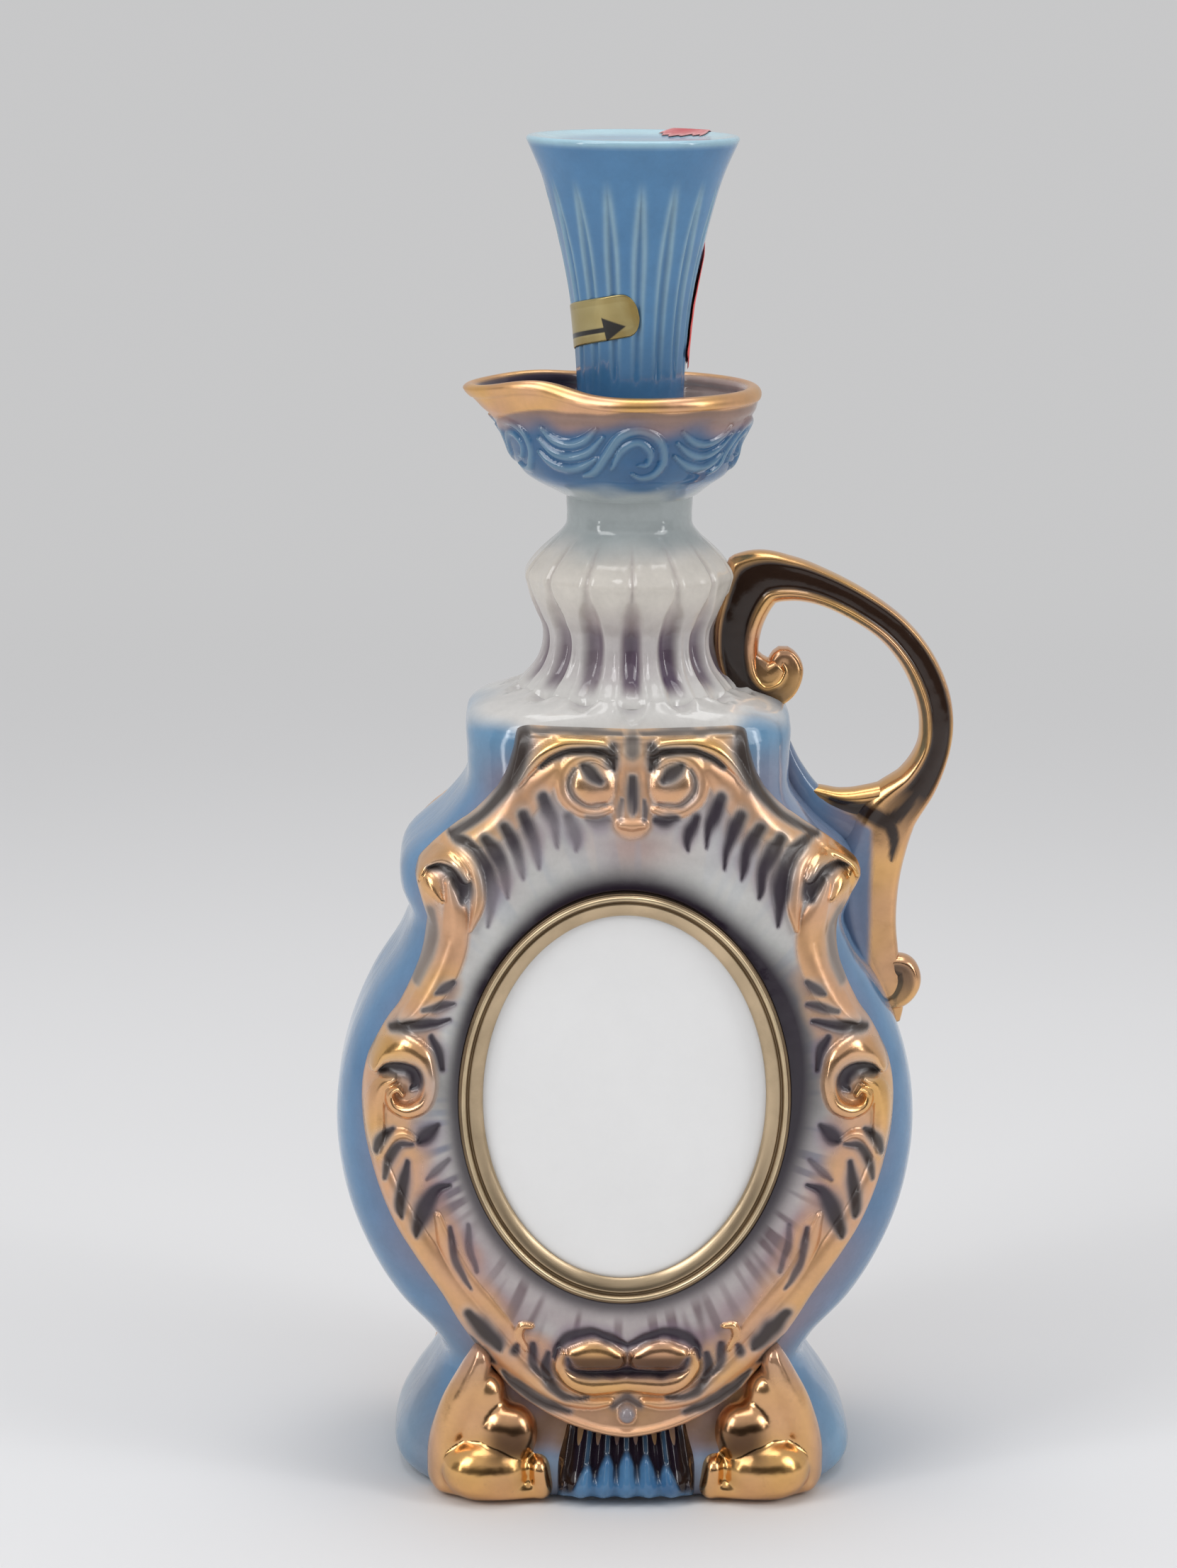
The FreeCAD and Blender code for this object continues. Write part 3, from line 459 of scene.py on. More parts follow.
# %% Bands and volutes of the right half: rise, softness and points of x, height and half-width
BANDS = {
    "cornice": (0.8, 0.8, [(0, 168.9, 0.9), (8, 169.2, 1), (16, 169.2, 1), (23.2, 169.2, 0.9)]),
    "crest": (1.7, 0.6, [
        (4.2, 165.4, 1), (6.4, 167, 1.5), (10, 167.5, 1.7), (14.2, 167.3, 1.7), (18, 165.6, 1.6),
        (21.4, 162.4, 1.4), (24.2, 158.6, 0.9),
    ]),
    "boss": (1.9, 0.9, [(8.3, 158.4, 5), (8.5, 158.6, 5)]),
    "boss_ring": (1.0, 0.9, [
        (5, 162.6, 0.8), (8.4, 164.5, 1.2), (12.2, 163.6, 1.5), (14.8, 160.6, 1.5),
        (14.5, 156.4, 1.5), (11.8, 153.5, 1.4), (8, 152.4, 1.2), (4.6, 153.4, 0.8),
    ]),
    "keystone": (1.0, 1.5, [(0, 164.4, 2.8), (0, 160.4, 3.2), (0, 155, 4), (0, 151.6, 4.4)]),
    "key_drop": (1.6, 0.7, [(0, 150.2, 1.5), (2.2, 150.4, 1.2)]),
    "shoulder": (0.9, 1.4, [
        (16.2, 161.6, 2), (20.8, 157.6, 3.6), (25.6, 153, 4.2), (30.6, 149, 3.8),
        (35.4, 146.6, 2.4),
    ]),
    "volute": (1.5, 0.7, [
        (39.8, 145, 0.9), (36.4, 143.8, 1.4), (33.4, 140.8, 1.6), (32.3, 136.6, 1.6),
        (32.6, 132.4, 1.4), (34, 127.6, 0.5),
    ]),
    "arch": (2.6, 0.55, [
        (45.2, 137.6, 0.9), (44.4, 140, 1.3), (42.4, 142, 1.6), (39.6, 142.6, 1.7),
        (36.9, 141.2, 1.5), (35, 138.4, 1.1),
    ]),
    "pool": (1.3, 1.1, [
        (43.6, 137.8, 1.7), (42.6, 136.4, 2.3), (41.2, 134.6, 1.5), (40, 133.2, 0.6),
    ]),
    "acanthus": (1.5, 0.8, [
        (38.6, 137.4, 0.9), (37.9, 134, 1.7), (37.2, 130.4, 2.8), (37.6, 125.2, 3.2),
        (39.4, 119.6, 3.4), (42.4, 114, 3.2), (45.8, 109.6, 2.2), (48.6, 107.2, 0.9),
    ]),
    "cap": (2.7, 0.6, [
        (54.6, 96.6, 1.4), (53, 99.8, 2.6), (48.8, 101.4, 3.5), (44.8, 100, 2.9), (43, 96.8, 2.1),
        (42.6, 93.4, 1.9), (44, 89.7, 2), (47.4, 88, 1.9), (50.4, 88.9, 1.5), (51.2, 91.4, 1.2),
        (49.6, 92.7, 0.9), (48.4, 91.6, 0.6),
    ]),
    "flank": (2.0, 0.7, [
        (50.4, 94.6, 0.9), (53.2, 92.6, 2), (54.6, 88.4, 2.5), (54.6, 83.4, 2.5), (53.8, 78, 1.8),
    ]),
    "leaf": (1.3, 0.6, [
        (45.4, 81.6, 0.5), (48, 82.7, 1), (50.6, 81.7, 1.1), (52.6, 78.6, 1), (53.4, 74.8, 0.5),
    ]),
    "border": (1.7, 0.9, [
        (54, 78, 1.6), (51.6, 69.4, 2.9), (48.2, 62.4, 3.5), (43.6, 55.2, 3.8), (38.2, 47.4, 3.9),
        (33, 40.6, 3.7), (28.2, 34.8, 3.2), (22.4, 29.2, 2.7), (14.8, 24.2, 2), (8.2, 22.4, 1.4),
        (3.8, 22.7, 0.9),
    ]),
    "strand": (1.0, 1.0, [
        (41, 65, 0.9), (39, 58, 1.9), (35.8, 51.6, 2.2), (31.6, 46.2, 2.2), (27.4, 41, 2),
        (24.4, 36.6, 1.7), (20.8, 31.8, 1.5), (17, 27.8, 0.8),
    ]),
    "skirt": (1.3, 1.0, [
        (37.4, 38.4, 0.9), (32.4, 31.6, 1.4), (26.2, 25, 1.7), (19.6, 20.6, 1.7), (13.6, 18.5, 1.6),
        (6.2, 16.4, 1.4), (0, 15.6, 1.3),
    ]),
    "curl": (1.3, 0.6, [(21.8, 34.6, 0.8), (23.4, 37.6, 1.1), (22.8, 40.2, 1), (20.8, 40.4, 0.7)]),
    "twin": (2.6, 0.6, [(2.8, 32.4, 2.8), (6.8, 33.2, 3.9), (10.8, 32.6, 3.3)]),
    "cup": (2.2, 0.6, [
        (0, 26.8, 2.2), (4, 26.4, 2.3), (8.6, 26.2, 2.4), (12.4, 27.5, 2), (14.6, 30.6, 1.6),
        (14.4, 34, 1.1),
    ]),
    "bead": (2.2, 0.5, [(0, 20.2, 1.9), (0, 20, 1.9)]),
}

# %% Hollows of the right half: depth, darkness (purple glaze and painted shade) and points
HOLLOWS = [
    (0.9, 1.0, [
        (3.7, 164, 0.5), (5.2, 165.3, 0.9), (8.6, 165.8, 0.8), (12.6, 165.6, 0.7),
        (16.6, 164.2, 0.6), (19.4, 162, 0.4),
    ]),
    (0.9, 1.0, [(4.2, 166.4, 0.9), (4.5, 163.8, 1.1), (4, 161.4, 0.4)]),
    (0.8, 0.8, [(0, 168, 1.2), (0, 165.6, 1.3)]),
    (0.3, 0.8, [(2, 168.9, 0.3), (8, 169.3, 0.45), (16, 169.4, 0.45), (21.6, 169.2, 0.4)]),
    (0.7, 0.55, [
        (12.4, 161.4, 0.5), (13.4, 158.4, 0.7), (12.3, 155.7, 0.7), (9.4, 154.3, 0.5),
        (5.6, 154.6, 0.35),
    ]),
    (1.4, 1.0, [(6.6, 159.5, 0.7), (8.4, 160.9, 1.25), (10, 162, 0.9), (10.7, 162.4, 0.4)]),
    (1.1, 0.95, [(0, 160.2, 0.7), (0, 157.4, 1), (0, 154, 0.9), (0, 152.4, 0.4)]),
    (0.7, 0.8, [(2.3, 155.4, 0.4), (2.5, 153.4, 0.65), (2.5, 151.6, 0.5)]),
    (0.9, 0.95, [(5, 151, 0.7), (7, 150.9, 1.2), (9.2, 151.6, 0.7)]),
    (0.8, 1.0, [(13.4, 151.6, 0.9), (12.2, 149.2, 1.1), (11.6, 146.6, 0.7), (11.8, 144.6, 0.2)]),
    (0.9, 1.0, [(18.8, 155.6, 1.1), (17.6, 152.8, 1.25), (16.4, 149.4, 0.9), (15.8, 145.2, 0.25)]),
    (0.9, 1.0, [(22.9, 151.8, 1.2), (21.6, 149.2, 1.3), (20.2, 145.4, 0.8), (19.6, 140.8, 0.25)]),
    (0.9, 1.0, [(26.8, 149.2, 1.1), (25.4, 146.8, 1.3), (23.8, 143, 0.9), (23, 138.6, 0.25)]),
    (0.9, 1.0, [(30.6, 146.6, 1.1), (28.8, 144, 1.3), (27, 140, 1), (26.2, 134.6, 0.25)]),
    (1.0, 1.0, [
        (38.4, 146.3, 0.5), (35.4, 145.7, 0.9), (32.4, 143.5, 1.2), (30.5, 140.4, 1.4),
        (29.7, 136.4, 1.3), (29.8, 132, 0.7), (30.3, 128.4, 0.25),
    ]),
    (0.8, 1.0, [
        (22.9, 168.5, 1.3), (23.5, 164.8, 1.6), (24.8, 160.6, 1.4), (27, 156.6, 1),
        (30.9, 151.8, 0.65), (34.4, 148.8, 0.55), (37.7, 146.5, 0.5),
    ]),
    (1.2, 1.0, [
        (43, 139.8, 0.4), (40.2, 140.2, 0.8), (37.4, 138.9, 1.2), (35.4, 136.2, 1.5),
        (35.7, 133.8, 0.7),
    ]),
    (0.5, 0.6, [(42.6, 131, 0.8), (42.2, 126, 1), (43.2, 121, 1), (45.4, 115.6, 0.7)]),
    (0.7, 0.9, [(37.6, 116.2, 0.6), (39.4, 114.9, 1), (41.2, 113.8, 0.4)]),
    (0.7, 0.85, [(37.4, 111.6, 0.4), (40.4, 110.8, 0.9), (44, 110, 0.5)]),
    (0.9, 1.0, [(38.6, 107.9, 0.4), (43, 106.8, 1), (47.4, 106.2, 1.2), (50.6, 105.4, 0.6)]),
    (0.8, 1.0, [(42.2, 104.2, 0.6), (40.6, 101.4, 0.9), (39.9, 97.4, 0.5)]),
    (1.6, 1.0, [
        (53, 96, 0.6), (49.6, 97, 1.3), (46.2, 96.2, 1.5), (45.5, 93.9, 1), (46.6, 92.7, 0.4),
    ]),
    (0.9, 1.0, [(40.8, 85, 0.5), (43.2, 82.8, 1.5), (44.8, 81.3, 0.7)]),
    (0.8, 0.9, [(46.4, 80.4, 0.4), (49.4, 79.7, 0.7), (51.5, 76.4, 0.8), (52.2, 72.8, 0.4)]),
    (0.8, 0.95, [(50.6, 83.4, 0.4), (53, 81.4, 1), (54.2, 78.6, 0.6)]),
    (0.6, 0.6, [(38.6, 77.4, 0.4), (41.2, 74.9, 0.7), (43.2, 73, 0.3)]),
    (1.0, 1.0, [(47.4, 76.4, 0.5), (48.3, 71.6, 1), (48.9, 66.8, 1), (48.6, 64.4, 0.4)]),
    (1.1, 1.0, [
        (38.2, 71.8, 0.4), (41.4, 70.4, 1), (43.7, 66.4, 1.6), (45.2, 62.4, 1.1), (45.6, 60.2, 0.4),
    ]),
    (0.7, 0.8, [(38.2, 62.4, 0.4), (37.5, 57, 0.7), (35.6, 51.6, 0.6), (33.8, 48.8, 0.3)]),
    (0.6, 0.6, [(34.4, 63, 0.4), (34.2, 58, 0.6), (32.6, 52.6, 0.4)]),
    (1.1, 1.0, [(34.2, 43, 1), (31.2, 39.4, 1.7), (28.4, 36.2, 1.3), (27.4, 34.6, 0.5)]),
    (0.9, 0.9, [(24.4, 34, 0.9), (23.8, 35.6, 0.5)]),
    (0.9, 0.9, [(20.4, 35.8, 0.5), (20.2, 31.4, 0.9), (18.6, 28.6, 0.4)]),
    (0.9, 0.95, [
        (17.2, 33.4, 0.5), (17.7, 29.6, 0.9), (15.9, 25.9, 0.8), (12.8, 23.8, 0.5),
        (8.4, 23.8, 0.3),
    ]),
    (1.0, 1.0, [
        (0, 35.4, 0.5), (3.8, 37.6, 0.9), (8, 38.7, 1), (12.4, 37.9, 1.1), (15, 35.4, 0.7),
        (15.9, 32.6, 0.3),
    ]),
    (1.0, 1.0, [
        (0, 29.6, 0.9), (3.6, 29.2, 0.8), (8, 29.1, 0.7), (11.6, 30.2, 0.7), (12.9, 32.8, 0.4),
    ]),
    (0.6, 0.7, [(0, 23.4, 0.8), (3, 21.6, 0.5)]),
    (0.9, 0.9, [(33.8, 36.4, 0.4), (31.2, 33.2, 1), (29, 30.6, 0.5)]),
    (0.9, 0.9, [(26.6, 28.4, 0.5), (22.4, 24.6, 1.1), (17, 21.8, 0.9), (12.4, 20.4, 0.4)]),
]
POLISHED = ("crest", "boss", "arch", "pool", "cap", "flank", "curl", "twin", "cup", "bead")
print("strokes:", len(BANDS), "bands and", len(HOLLOWS), "hollows")

# %% [markdown]
# Between the bezel and the bands lies a pale ground, dished towards the oval. A dark purple lies
# close to the bezel, widest and darkest at the top and on the right. The hollows hold purple glaze
# and painted shade, and the lustre thins out from the bands towards the ground. The heights and
# the paint of a point come from the same strokes, so they always agree.

# %% Heights of the bands and depths of the hollows
FRAME_IN_WIDE, FRAME_IN_TALL, MELT = 35.45, 45.35, 5


def on_bands(wide, z):
    """Rise, cover and polish of the bands, and the painted dark reflection on the twin scrolls."""
    roll, cover, bright = np.zeros((3, len(z)))
    for name, (rise, soft, stroke) in BANDS.items():
        across = across_stroke(wide, z, stroke)
        roll += (rise * dome(across) ** soft) ** MELT
        cover = np.maximum(cover, ease(1.25, 0.8, across))
        if name in POLISHED:
            bright = np.maximum(bright, ease(1.2, 0.6, across))
        if name == "twin":
            # Painted dark reflection: brown on the lower halves of the twin scrolls.
            twin_dark_reflection = ease(1.15, 0.75, across) * ease(35.0, 33.0, z)
    return roll ** (1 / MELT), cover, bright, twin_dark_reflection


def in_hollows(wide, z, place):
    """Depth of the hollows, their dark line and the wash round it: purple glaze and painted shade.
    """
    dig, dark, wash_and_shade = np.zeros((3, len(z)))
    shake = 0.16 * cloud(place, 5.0, 28)
    for deep, shade, stroke in HOLLOWS:
        across = across_stroke(wide + shake, z - shake, stroke)
        dig = np.maximum(dig, 0.42 * deep * dome(across / 1.3))
        # The dark line and the wash round it are purple glaze with painted shade and painted
        # reflection.
        dark = np.maximum(dark, shade * ease(1.95, 0.55, across))
        wash_and_shade = np.maximum(wash_and_shade, shade * ease(3.4, 1.0, across))
    return dig, dark, wash_and_shade


# %% Heights of the frame
GROUND_LOW, GROUND_DISH, GROUND_RIM, EDGE_ROUND, EDGE_SUNK = 1.8, 1.4, 0.4, 2.2, 0.3


def frame_face(x, z, aside, pull):
    """Height above the body, and the marks, at points of the frame's face."""
    wide, up = drawn(x, z, pull), z - OVAL_HIGH
    turn, place = np.arctan2(up, wide), np.c_[x, 0 * x, z]
    bezel_line = oval_reach(np.arctan2(up, x), FRAME_IN_WIDE, FRAME_IN_TALL, aside)
    from_oval, from_edge = np.hypot(x, up) - bezel_line, frame_reach(turn) - np.hypot(wide, up)
    share = from_oval / np.maximum(from_oval + from_edge, 0.1)
    roll, *bands = on_bands(wide, z)
    dig, *hollows = in_hollows(wide, z, place)
    ground = GROUND_LOW + GROUND_DISH * ease(0, 12, from_oval) + GROUND_RIM * ease(8, 3, from_edge)
    rounding = np.sqrt(dome(1 - np.clip(from_edge / EDGE_ROUND, 0, 1)))
    height = (ground + roll - dig) * rounding - EDGE_SUNK * (1 - rounding)
    return height, glaze_frame(place, wide, turn, from_oval, share, bands, hollows)


# %% Paint of the frame
PEWTER = (0.27, 0.235, 0.245)


def glaze_frame(place, wide, turn, from_oval, share, bands, hollows):
    (cover, bright, twin_dark_reflection), (dark, wash_and_shade) = bands, hollows
    x, _, z = place.T
    dark = dark * (1 - 0.6 * (x < 0) * ease(124, 128, z) * ease(0.64, 0.40, share))
    lower = ease(100, 60, z)
    spray = share + 0.05 * cloud(place, 11, 21) + 0.24 * ease(132, 112, z) - 0.10 * ease(60, 40, z)
    lustre = np.maximum(ease(0.50, 0.80, spray) * 0.9, cover * ease(0.1, 0.45, share + 0.1 * lower))
    lustre *= (1 - 0.9 * dark) * (1 - 0.35 * wash_and_shade)
    copper = 0.45 + 0.5 * cloud(place, 17, 26) + 0.4 * (1 - share) + 0.3 * (1 - bright)
    # The gilt film, browned by the painted dark reflection on the twin scrolls.
    film = coats(GOLD, (PINK_GOLD, copper), (BROWN * 1.8, 0.9 * twin_dark_reflection))
    spread = bell(share, 0.47, 0.2) * (0.75 + 0.45 * cloud(place, 9, 22))
    brushed = np.c_[60 * turn * np.sign(x), 0.10 * from_oval, 30 * np.sign(x)]
    rays = ease(0.0, 0.75, cloud(brushed, 3.4, 24))
    rays *= ease(0.06, 0.2, share) * ease(0.76, 0.5, share)
    rays *= (0.22 + 0.78 * ease(116, 84, z)) * (0.75 + 0.5 * cloud(place, 20, 25))
    # A dark purple halo round the bezel, widest and darkest at the top and on the right.
    halo_wide = 2.9 + 5.0 * ease(14, 36, x) * bell(z, 104, 30) + 2.3 * ease(124, 144, z)
    halo = np.exp(-((np.clip(from_oval, 0, None) / halo_wide) ** 2.6))
    halo *= 0.86 + 0.14 * ease(60, 120, z) + 0.12 * ease(10, 36, x)
    bead = ease(2.3, 1.5, np.hypot(x, z - 20.1))
    paint = coats(
        MIST * (1 + 0.05 * cloud(place, 14, 23))[:, None],
        (MAUVE * 1.15, (0.34 + 0.32 * lower) * spread + 0.46 * lower),
        (ROSE, 0.75 * bell(wide, 0, 9) * bell(z, 145, 5)),
        (tone(SLATE, MAUVE * 0.62, lower), rays),
        (PURPLE * 0.5, halo),
        (film, lustre),
        (PEWTER, bead),
        # Wash and dark line of the hollows: purple glaze with painted shade and painted reflection.
        (tone(PURPLE * 4, MAUVE * 0.7, ease(0.3, 0.6, share)), 0.42 * wash_and_shade * (1 - cover)),
        (tone(PURPLE * 0.6, BROWN * 0.5, ease(0.55, 0.85, share)), 0.95 * dark),
    )
    lustre = lustre * (1 - bead)
    matte = 0.8 * dark + 0.6 * (1 - bright) * lustre
    return {"paint": paint, "lustre": lustre * (0.64 + 0.26 * bright), "matte": matte}


# %% Press both frames
FRAME_ROWS, FRAME_SEAM, FRAME_SUNK, FRAME_FRONT = 84, 0.3, 0.9, 41.0
SKIN_LEAST, BACK_LESS = 21.5, 8


def press_frame(u, v, side):
    turn = TURN * u + FRAME_SEAM
    step = np.rint(v * (FRAME_ROWS + 4)).astype(int)
    under = (step == 0) | (step > FRAME_ROWS + 1)
    share = np.clip((step - 1) / FRAME_ROWS, 0, 1)
    share = np.select([step == FRAME_ROWS + 3, step == FRAME_ROWS + 4], [0.5, 0.0], share)
    inner = oval_reach(turn, FRAME_IN_WIDE, FRAME_IN_TALL, OVAL_ASIDE[side])
    radius = inner + (edge_reach(turn, SHOULDER_PULL[side]) - inner) * share
    x, z = radius * np.cos(turn), OVAL_HIGH + radius * np.sin(turn)
    height, marks = frame_face(x, z, OVAL_ASIDE[side], SHOULDER_PULL[side])
    least = SKIN_LEAST - BACK_LESS * (side > 0) * ease(140, 149, z)
    skin = np.maximum(face_of_body(x, z), least)
    front = np.where(under, skin - FRAME_SUNK, skin + height)
    return np.c_[x, side * np.minimum(front, FRAME_FRONT), z], marks


for face, side in FACES.items():
    name = "gilt_frame_" + face
    gilt_frame = moulded(name, press_frame, side, columns=860, rows=FRAME_ROWS + 4)
    stand_for(gilt_frame, "vessel", "frame_lustre", face + "_frame")

# %% [markdown]
# ## The bezel and the white oval
# A thin brass ring holds each oval plate. It has a wide slope down to the plate, a narrow groove
# and a rolled bead outside. Its section is a closed line of points, carried round the oval. The
# plate is glazed white and a little domed, so that it catches the light softly.

# %% Press the bezels and the plates
OVAL_WIDE, OVAL_TALL, PLATE_WIDE, PLATE_TALL = 30.2, 40.1, 31.2, 41.1
BEZEL_LINE = np.array((
    (1.25, 32.6), (1.25, 34.7), (0.15, 34.7), (0, 34.95), (0.15, 35.25), (0.6, 35.62), (1.2, 36),
    (1.9, 36.35), (2.6, 36.6), (2.95, 36.62), (3.1, 36.35), (3.3, 36.3), (3.45, 36.6), (3.6, 37.2),
    (3.85, 37.65), (4.2, 37.85), (4.5, 37.7), (4.7, 37.3), (4.78, 36.95), (4.95, 36.95), (5.1, 37),
    (5.2, 36.8), (5.2, 36), (5.2, 32.6), (3, 32.6), (1.25, 32.6),
))
PLATE_LINE = np.array((
    (0, 34.55), (0.25, 34.53), (0.5, 34.48), (0.75, 34.38), (0.92, 34.28), (0.97, 34.22),
    (0.995, 34.1), (1, 33.9), (1, 32.6), (0.6, 32.6), (0, 32.6),
))
# The dark and the bright brass are shaded and lit copies of the brass, used as painted light.
BRASS, BRASS_SHADE, BRASS_HIGHLIGHT = (0.56, 0.43, 0.28), (0.12, 0.075, 0.04), (0.70, 0.56, 0.36)
PLATE_WHITE, PLATE_SHADE = (0.86, 0.86, 0.855), (0.83, 0.83, 0.825)
BEZEL_SEAM, PLATE_SEAM = 0.2, 0.1


def press_bezel(u, v, side):
    turn = TURN * u + BEZEL_SEAM
    out, front = BEZEL_LINE[step_of(v, BEZEL_LINE)].T
    x = OVAL_ASIDE[side] + (OVAL_WIDE + out) * np.cos(turn)
    place = np.c_[x, side * front, OVAL_HIGH + (OVAL_TALL + out) * np.sin(turn)]
    # Painted shade in the groove and outside the bead, and a painted highlight on the bead.
    paint = coats(
        BRASS,
        (BRASS_SHADE, 0.6 * ease(2.7, 3.1, out) * ease(3.75, 3.5, out)),
        (BRASS_HIGHLIGHT, 0.8 * ease(3.6, 3.9, out) * ease(4.75, 4.4, out)),
        (BRASS_SHADE, 0.8 * ease(4.65, 4.85, out)),
    )
    return place, {"paint": paint * (1 + 0.10 * cloud(place, 13, 31))[:, None]}


def press_oval(u, v, side):
    turn = TURN * u + PLATE_SEAM
    reach, front = PLATE_LINE[step_of(v, PLATE_LINE)].T
    x = OVAL_ASIDE[side] + PLATE_WIDE * reach * np.cos(turn)
    place = np.c_[x, side * front, OVAL_HIGH + PLATE_TALL * reach * np.sin(turn)]
    return place, {"paint": tone(PLATE_WHITE, PLATE_SHADE, 0.5 + 0.3 * cloud(place, 30, 33))}


for face, side in FACES.items():
    name, rows = "brass_bezel_" + face, len(BEZEL_LINE) - 1
    bezel = moulded(name, press_bezel, side, columns=288, rows=rows)
    stand_for(bezel, "vessel", "bezel_metal", face + "_bezel")
    name, rows = "white_oval_" + face, len(PLATE_LINE) - 1
    oval = moulded(name, press_oval, side, columns=192, rows=rows)
    stand_for(oval, "vessel", "medallion_glaze", face + "_medallion")

# %% [markdown]
# ## The fluted neck
# The neck flares from the shoulder to a waist, swells to a collar with a clear edge, and goes in
# again under the bowl. Fourteen flutes are scooped out of the waist and end in a U with a raised
# lip. The same flutes part the collar into shallow lobes. Purple was brushed into them while the
# lands stayed white.

# %% Press the neck
NECK_LINE = (
    (172.8, 24.3), (174.5, 23.65), (176.2, 22.2), (178.6, 20.1), (181.2, 18.8), (184, 18.2),
    (187, 18.5), (190.3, 20), (194, 21.5), (197, 22.25), (198.3, 22.55), (199.3, 22.3),
    (201.5, 20.9), (204.6, 18), (207.2, 15.2), (209, 13.8), (211.2, 13.5), (214, 13.6), (217, 13.7),
)
NECK_LOW, NECK_TOP = NECK_LINE[0][0], NECK_LINE[-1][0]
neck_levels = np.r_[NECK_LOW, np.linspace(NECK_LOW, NECK_TOP, 142), NECK_TOP, 200, 187, NECK_LOW]
NECK_BORE_ROWS = 4
NECK_FLUTE_HALF, NECK_FLUTE_DEEP, NECK_FLUTE_LIP = 2.55, 1.75, 0.34
LOBE_CUT, LOBE_SWELL = 0.75, 0.28
SEA_GREY, DUSK = (0.32, 0.365, 0.37), (0.38, 0.32, 0.34)


def press_neck(u, v):
    turn, step = TURN * u, step_of(v, neck_levels)
    z = neck_levels[step]
    inside = (step == 0) | (step >= len(neck_levels) - NECK_BORE_ROWS)
    radius = flow(NECK_LINE, z)[:, 0]
    off = off_flute(turn, NECK_FLUTES, FIRST_FLUTE)
    half = NECK_FLUTE_HALF * (1.0 + 0.1 * ease(178, 174, z)) * (0.25 + 0.75 * ease(198.5, 191, z))
    across = np.abs(off) * TURN / NECK_FLUTES * radius / half
    deep = NECK_FLUTE_DEEP * ease(198.2, 190, z) * (0.55 + 0.45 * ease(174.5, 178.2, z))
    lip = NECK_FLUTE_LIP * bell(across, 1.2, 0.2) * ease(190, 184, z)
    lobe = ease(193.5, 197.5, z) * ease(208, 203, z)
    radius = radius - deep * dome(across) + lip
    radius = radius - lobe * (LOBE_CUT * bell(off, 0, 0.07) - LOBE_SWELL * np.cos(TURN * off))
    place = spun(np.where(inside, BORE, radius), turn, z)
    drift, wash = cloud(place, 15, 41), 0.72 + 0.4 * cloud(place, 24, 43)
    wet = ease(1.05, 0.45, across) * ease(174.2, 178.0, z) * wash
    paint = coats(
        WHITE,
        (CREAM, ease(184, 194, z) * ease(208, 202, z)),
        (SEA_GREY, 0.85 * ease(202.5, 209.0, z + 1.2 * drift)),
        (DUSK, (0.42 + 0.15 * drift) * ease(197, 187, z) * ease(175, 180, z)),
        (MAUVE, 0.6 * wet * ease(198, 191, z)),
        (PURPLE * 2.2, 0.85 * wet * ease(191.5, 185.5, z + 0.8 * drift)),
        (MAUVE, 0.25 * bell(off, 0, 0.05) * lobe),
    )
    return place, {"paint": paint}


rows, columns = len(neck_levels) - 1, NECK_FLUTES * 24
china_neck = moulded("fluted_china_neck", press_neck, columns=columns, rows=rows)
stand_for(china_neck, "vessel", "neck_glaze", "fluted_neck")

# %% [markdown]
# ## The pouring bowl
# The bowl is round, and one side is drawn out into a pouring lip. Running waves are moulded round
# it in low relief, a mauve is sprayed under the rim, and the rolled rim is gilt. The rows of the
# grid go up the outside, round the rolled rim, down the inside and through the throat. The waves
# use the same strokes as the frame, unrolled.

# %% Rows of the bowl: radius, height and zone
OUTSIDE, RIM, INSIDE, THROAT = range(4)
BOWL_LINE = (
    (215.5, 13.7), (217, 16.6), (219, 20.4), (221.2, 23.3), (224, 25), (227, 25.5), (230.3, 26),
    (233.4, 26.7), (236.2, 27.4), (238.5, 28.1),
)
BOWL_LOW, BOWL_FOOT, BOWL_FLOOR, BOWL_WALL, BOWL_SEAT = 214.8, 215.5, 220.0, 3.0, 13.2
RIM_MIDDLE, RIM_HIGH, RIM_ROUND = 26.2, 237.5, 1.85


def bowl_round(z):
    return flow(BOWL_LINE, z)[0, 0]


bowl_rows = [(BOWL_SEAT, BOWL_LOW, OUTSIDE)]
bowl_rows += [(bowl_round(z), z, OUTSIDE) for z in np.linspace(BOWL_FOOT, 236.5, 74)]
for angle in np.radians(np.linspace(-28, 212, 22)):
    out, up = RIM_ROUND * math.cos(angle), RIM_ROUND * math.sin(angle)
    bowl_rows.append((RIM_MIDDLE + out, RIM_HIGH + up, RIM))
bowl_rows += [(bowl_round(z) - BOWL_WALL, z, INSIDE) for z in np.linspace(235.6, 221.4, 16)]
throat = [(19.6, 220.5), (18.0, 220.1), (14.0, BOWL_FLOOR)]
throat += [(BORE, z) for z in (BOWL_FLOOR, 217.8, BOWL_LOW)]
bowl_rows += [(radius, z, THROAT) for radius, z in throat]
bowl_rows = np.array(bowl_rows + [(BOWL_SEAT, BOWL_LOW, OUTSIDE)])
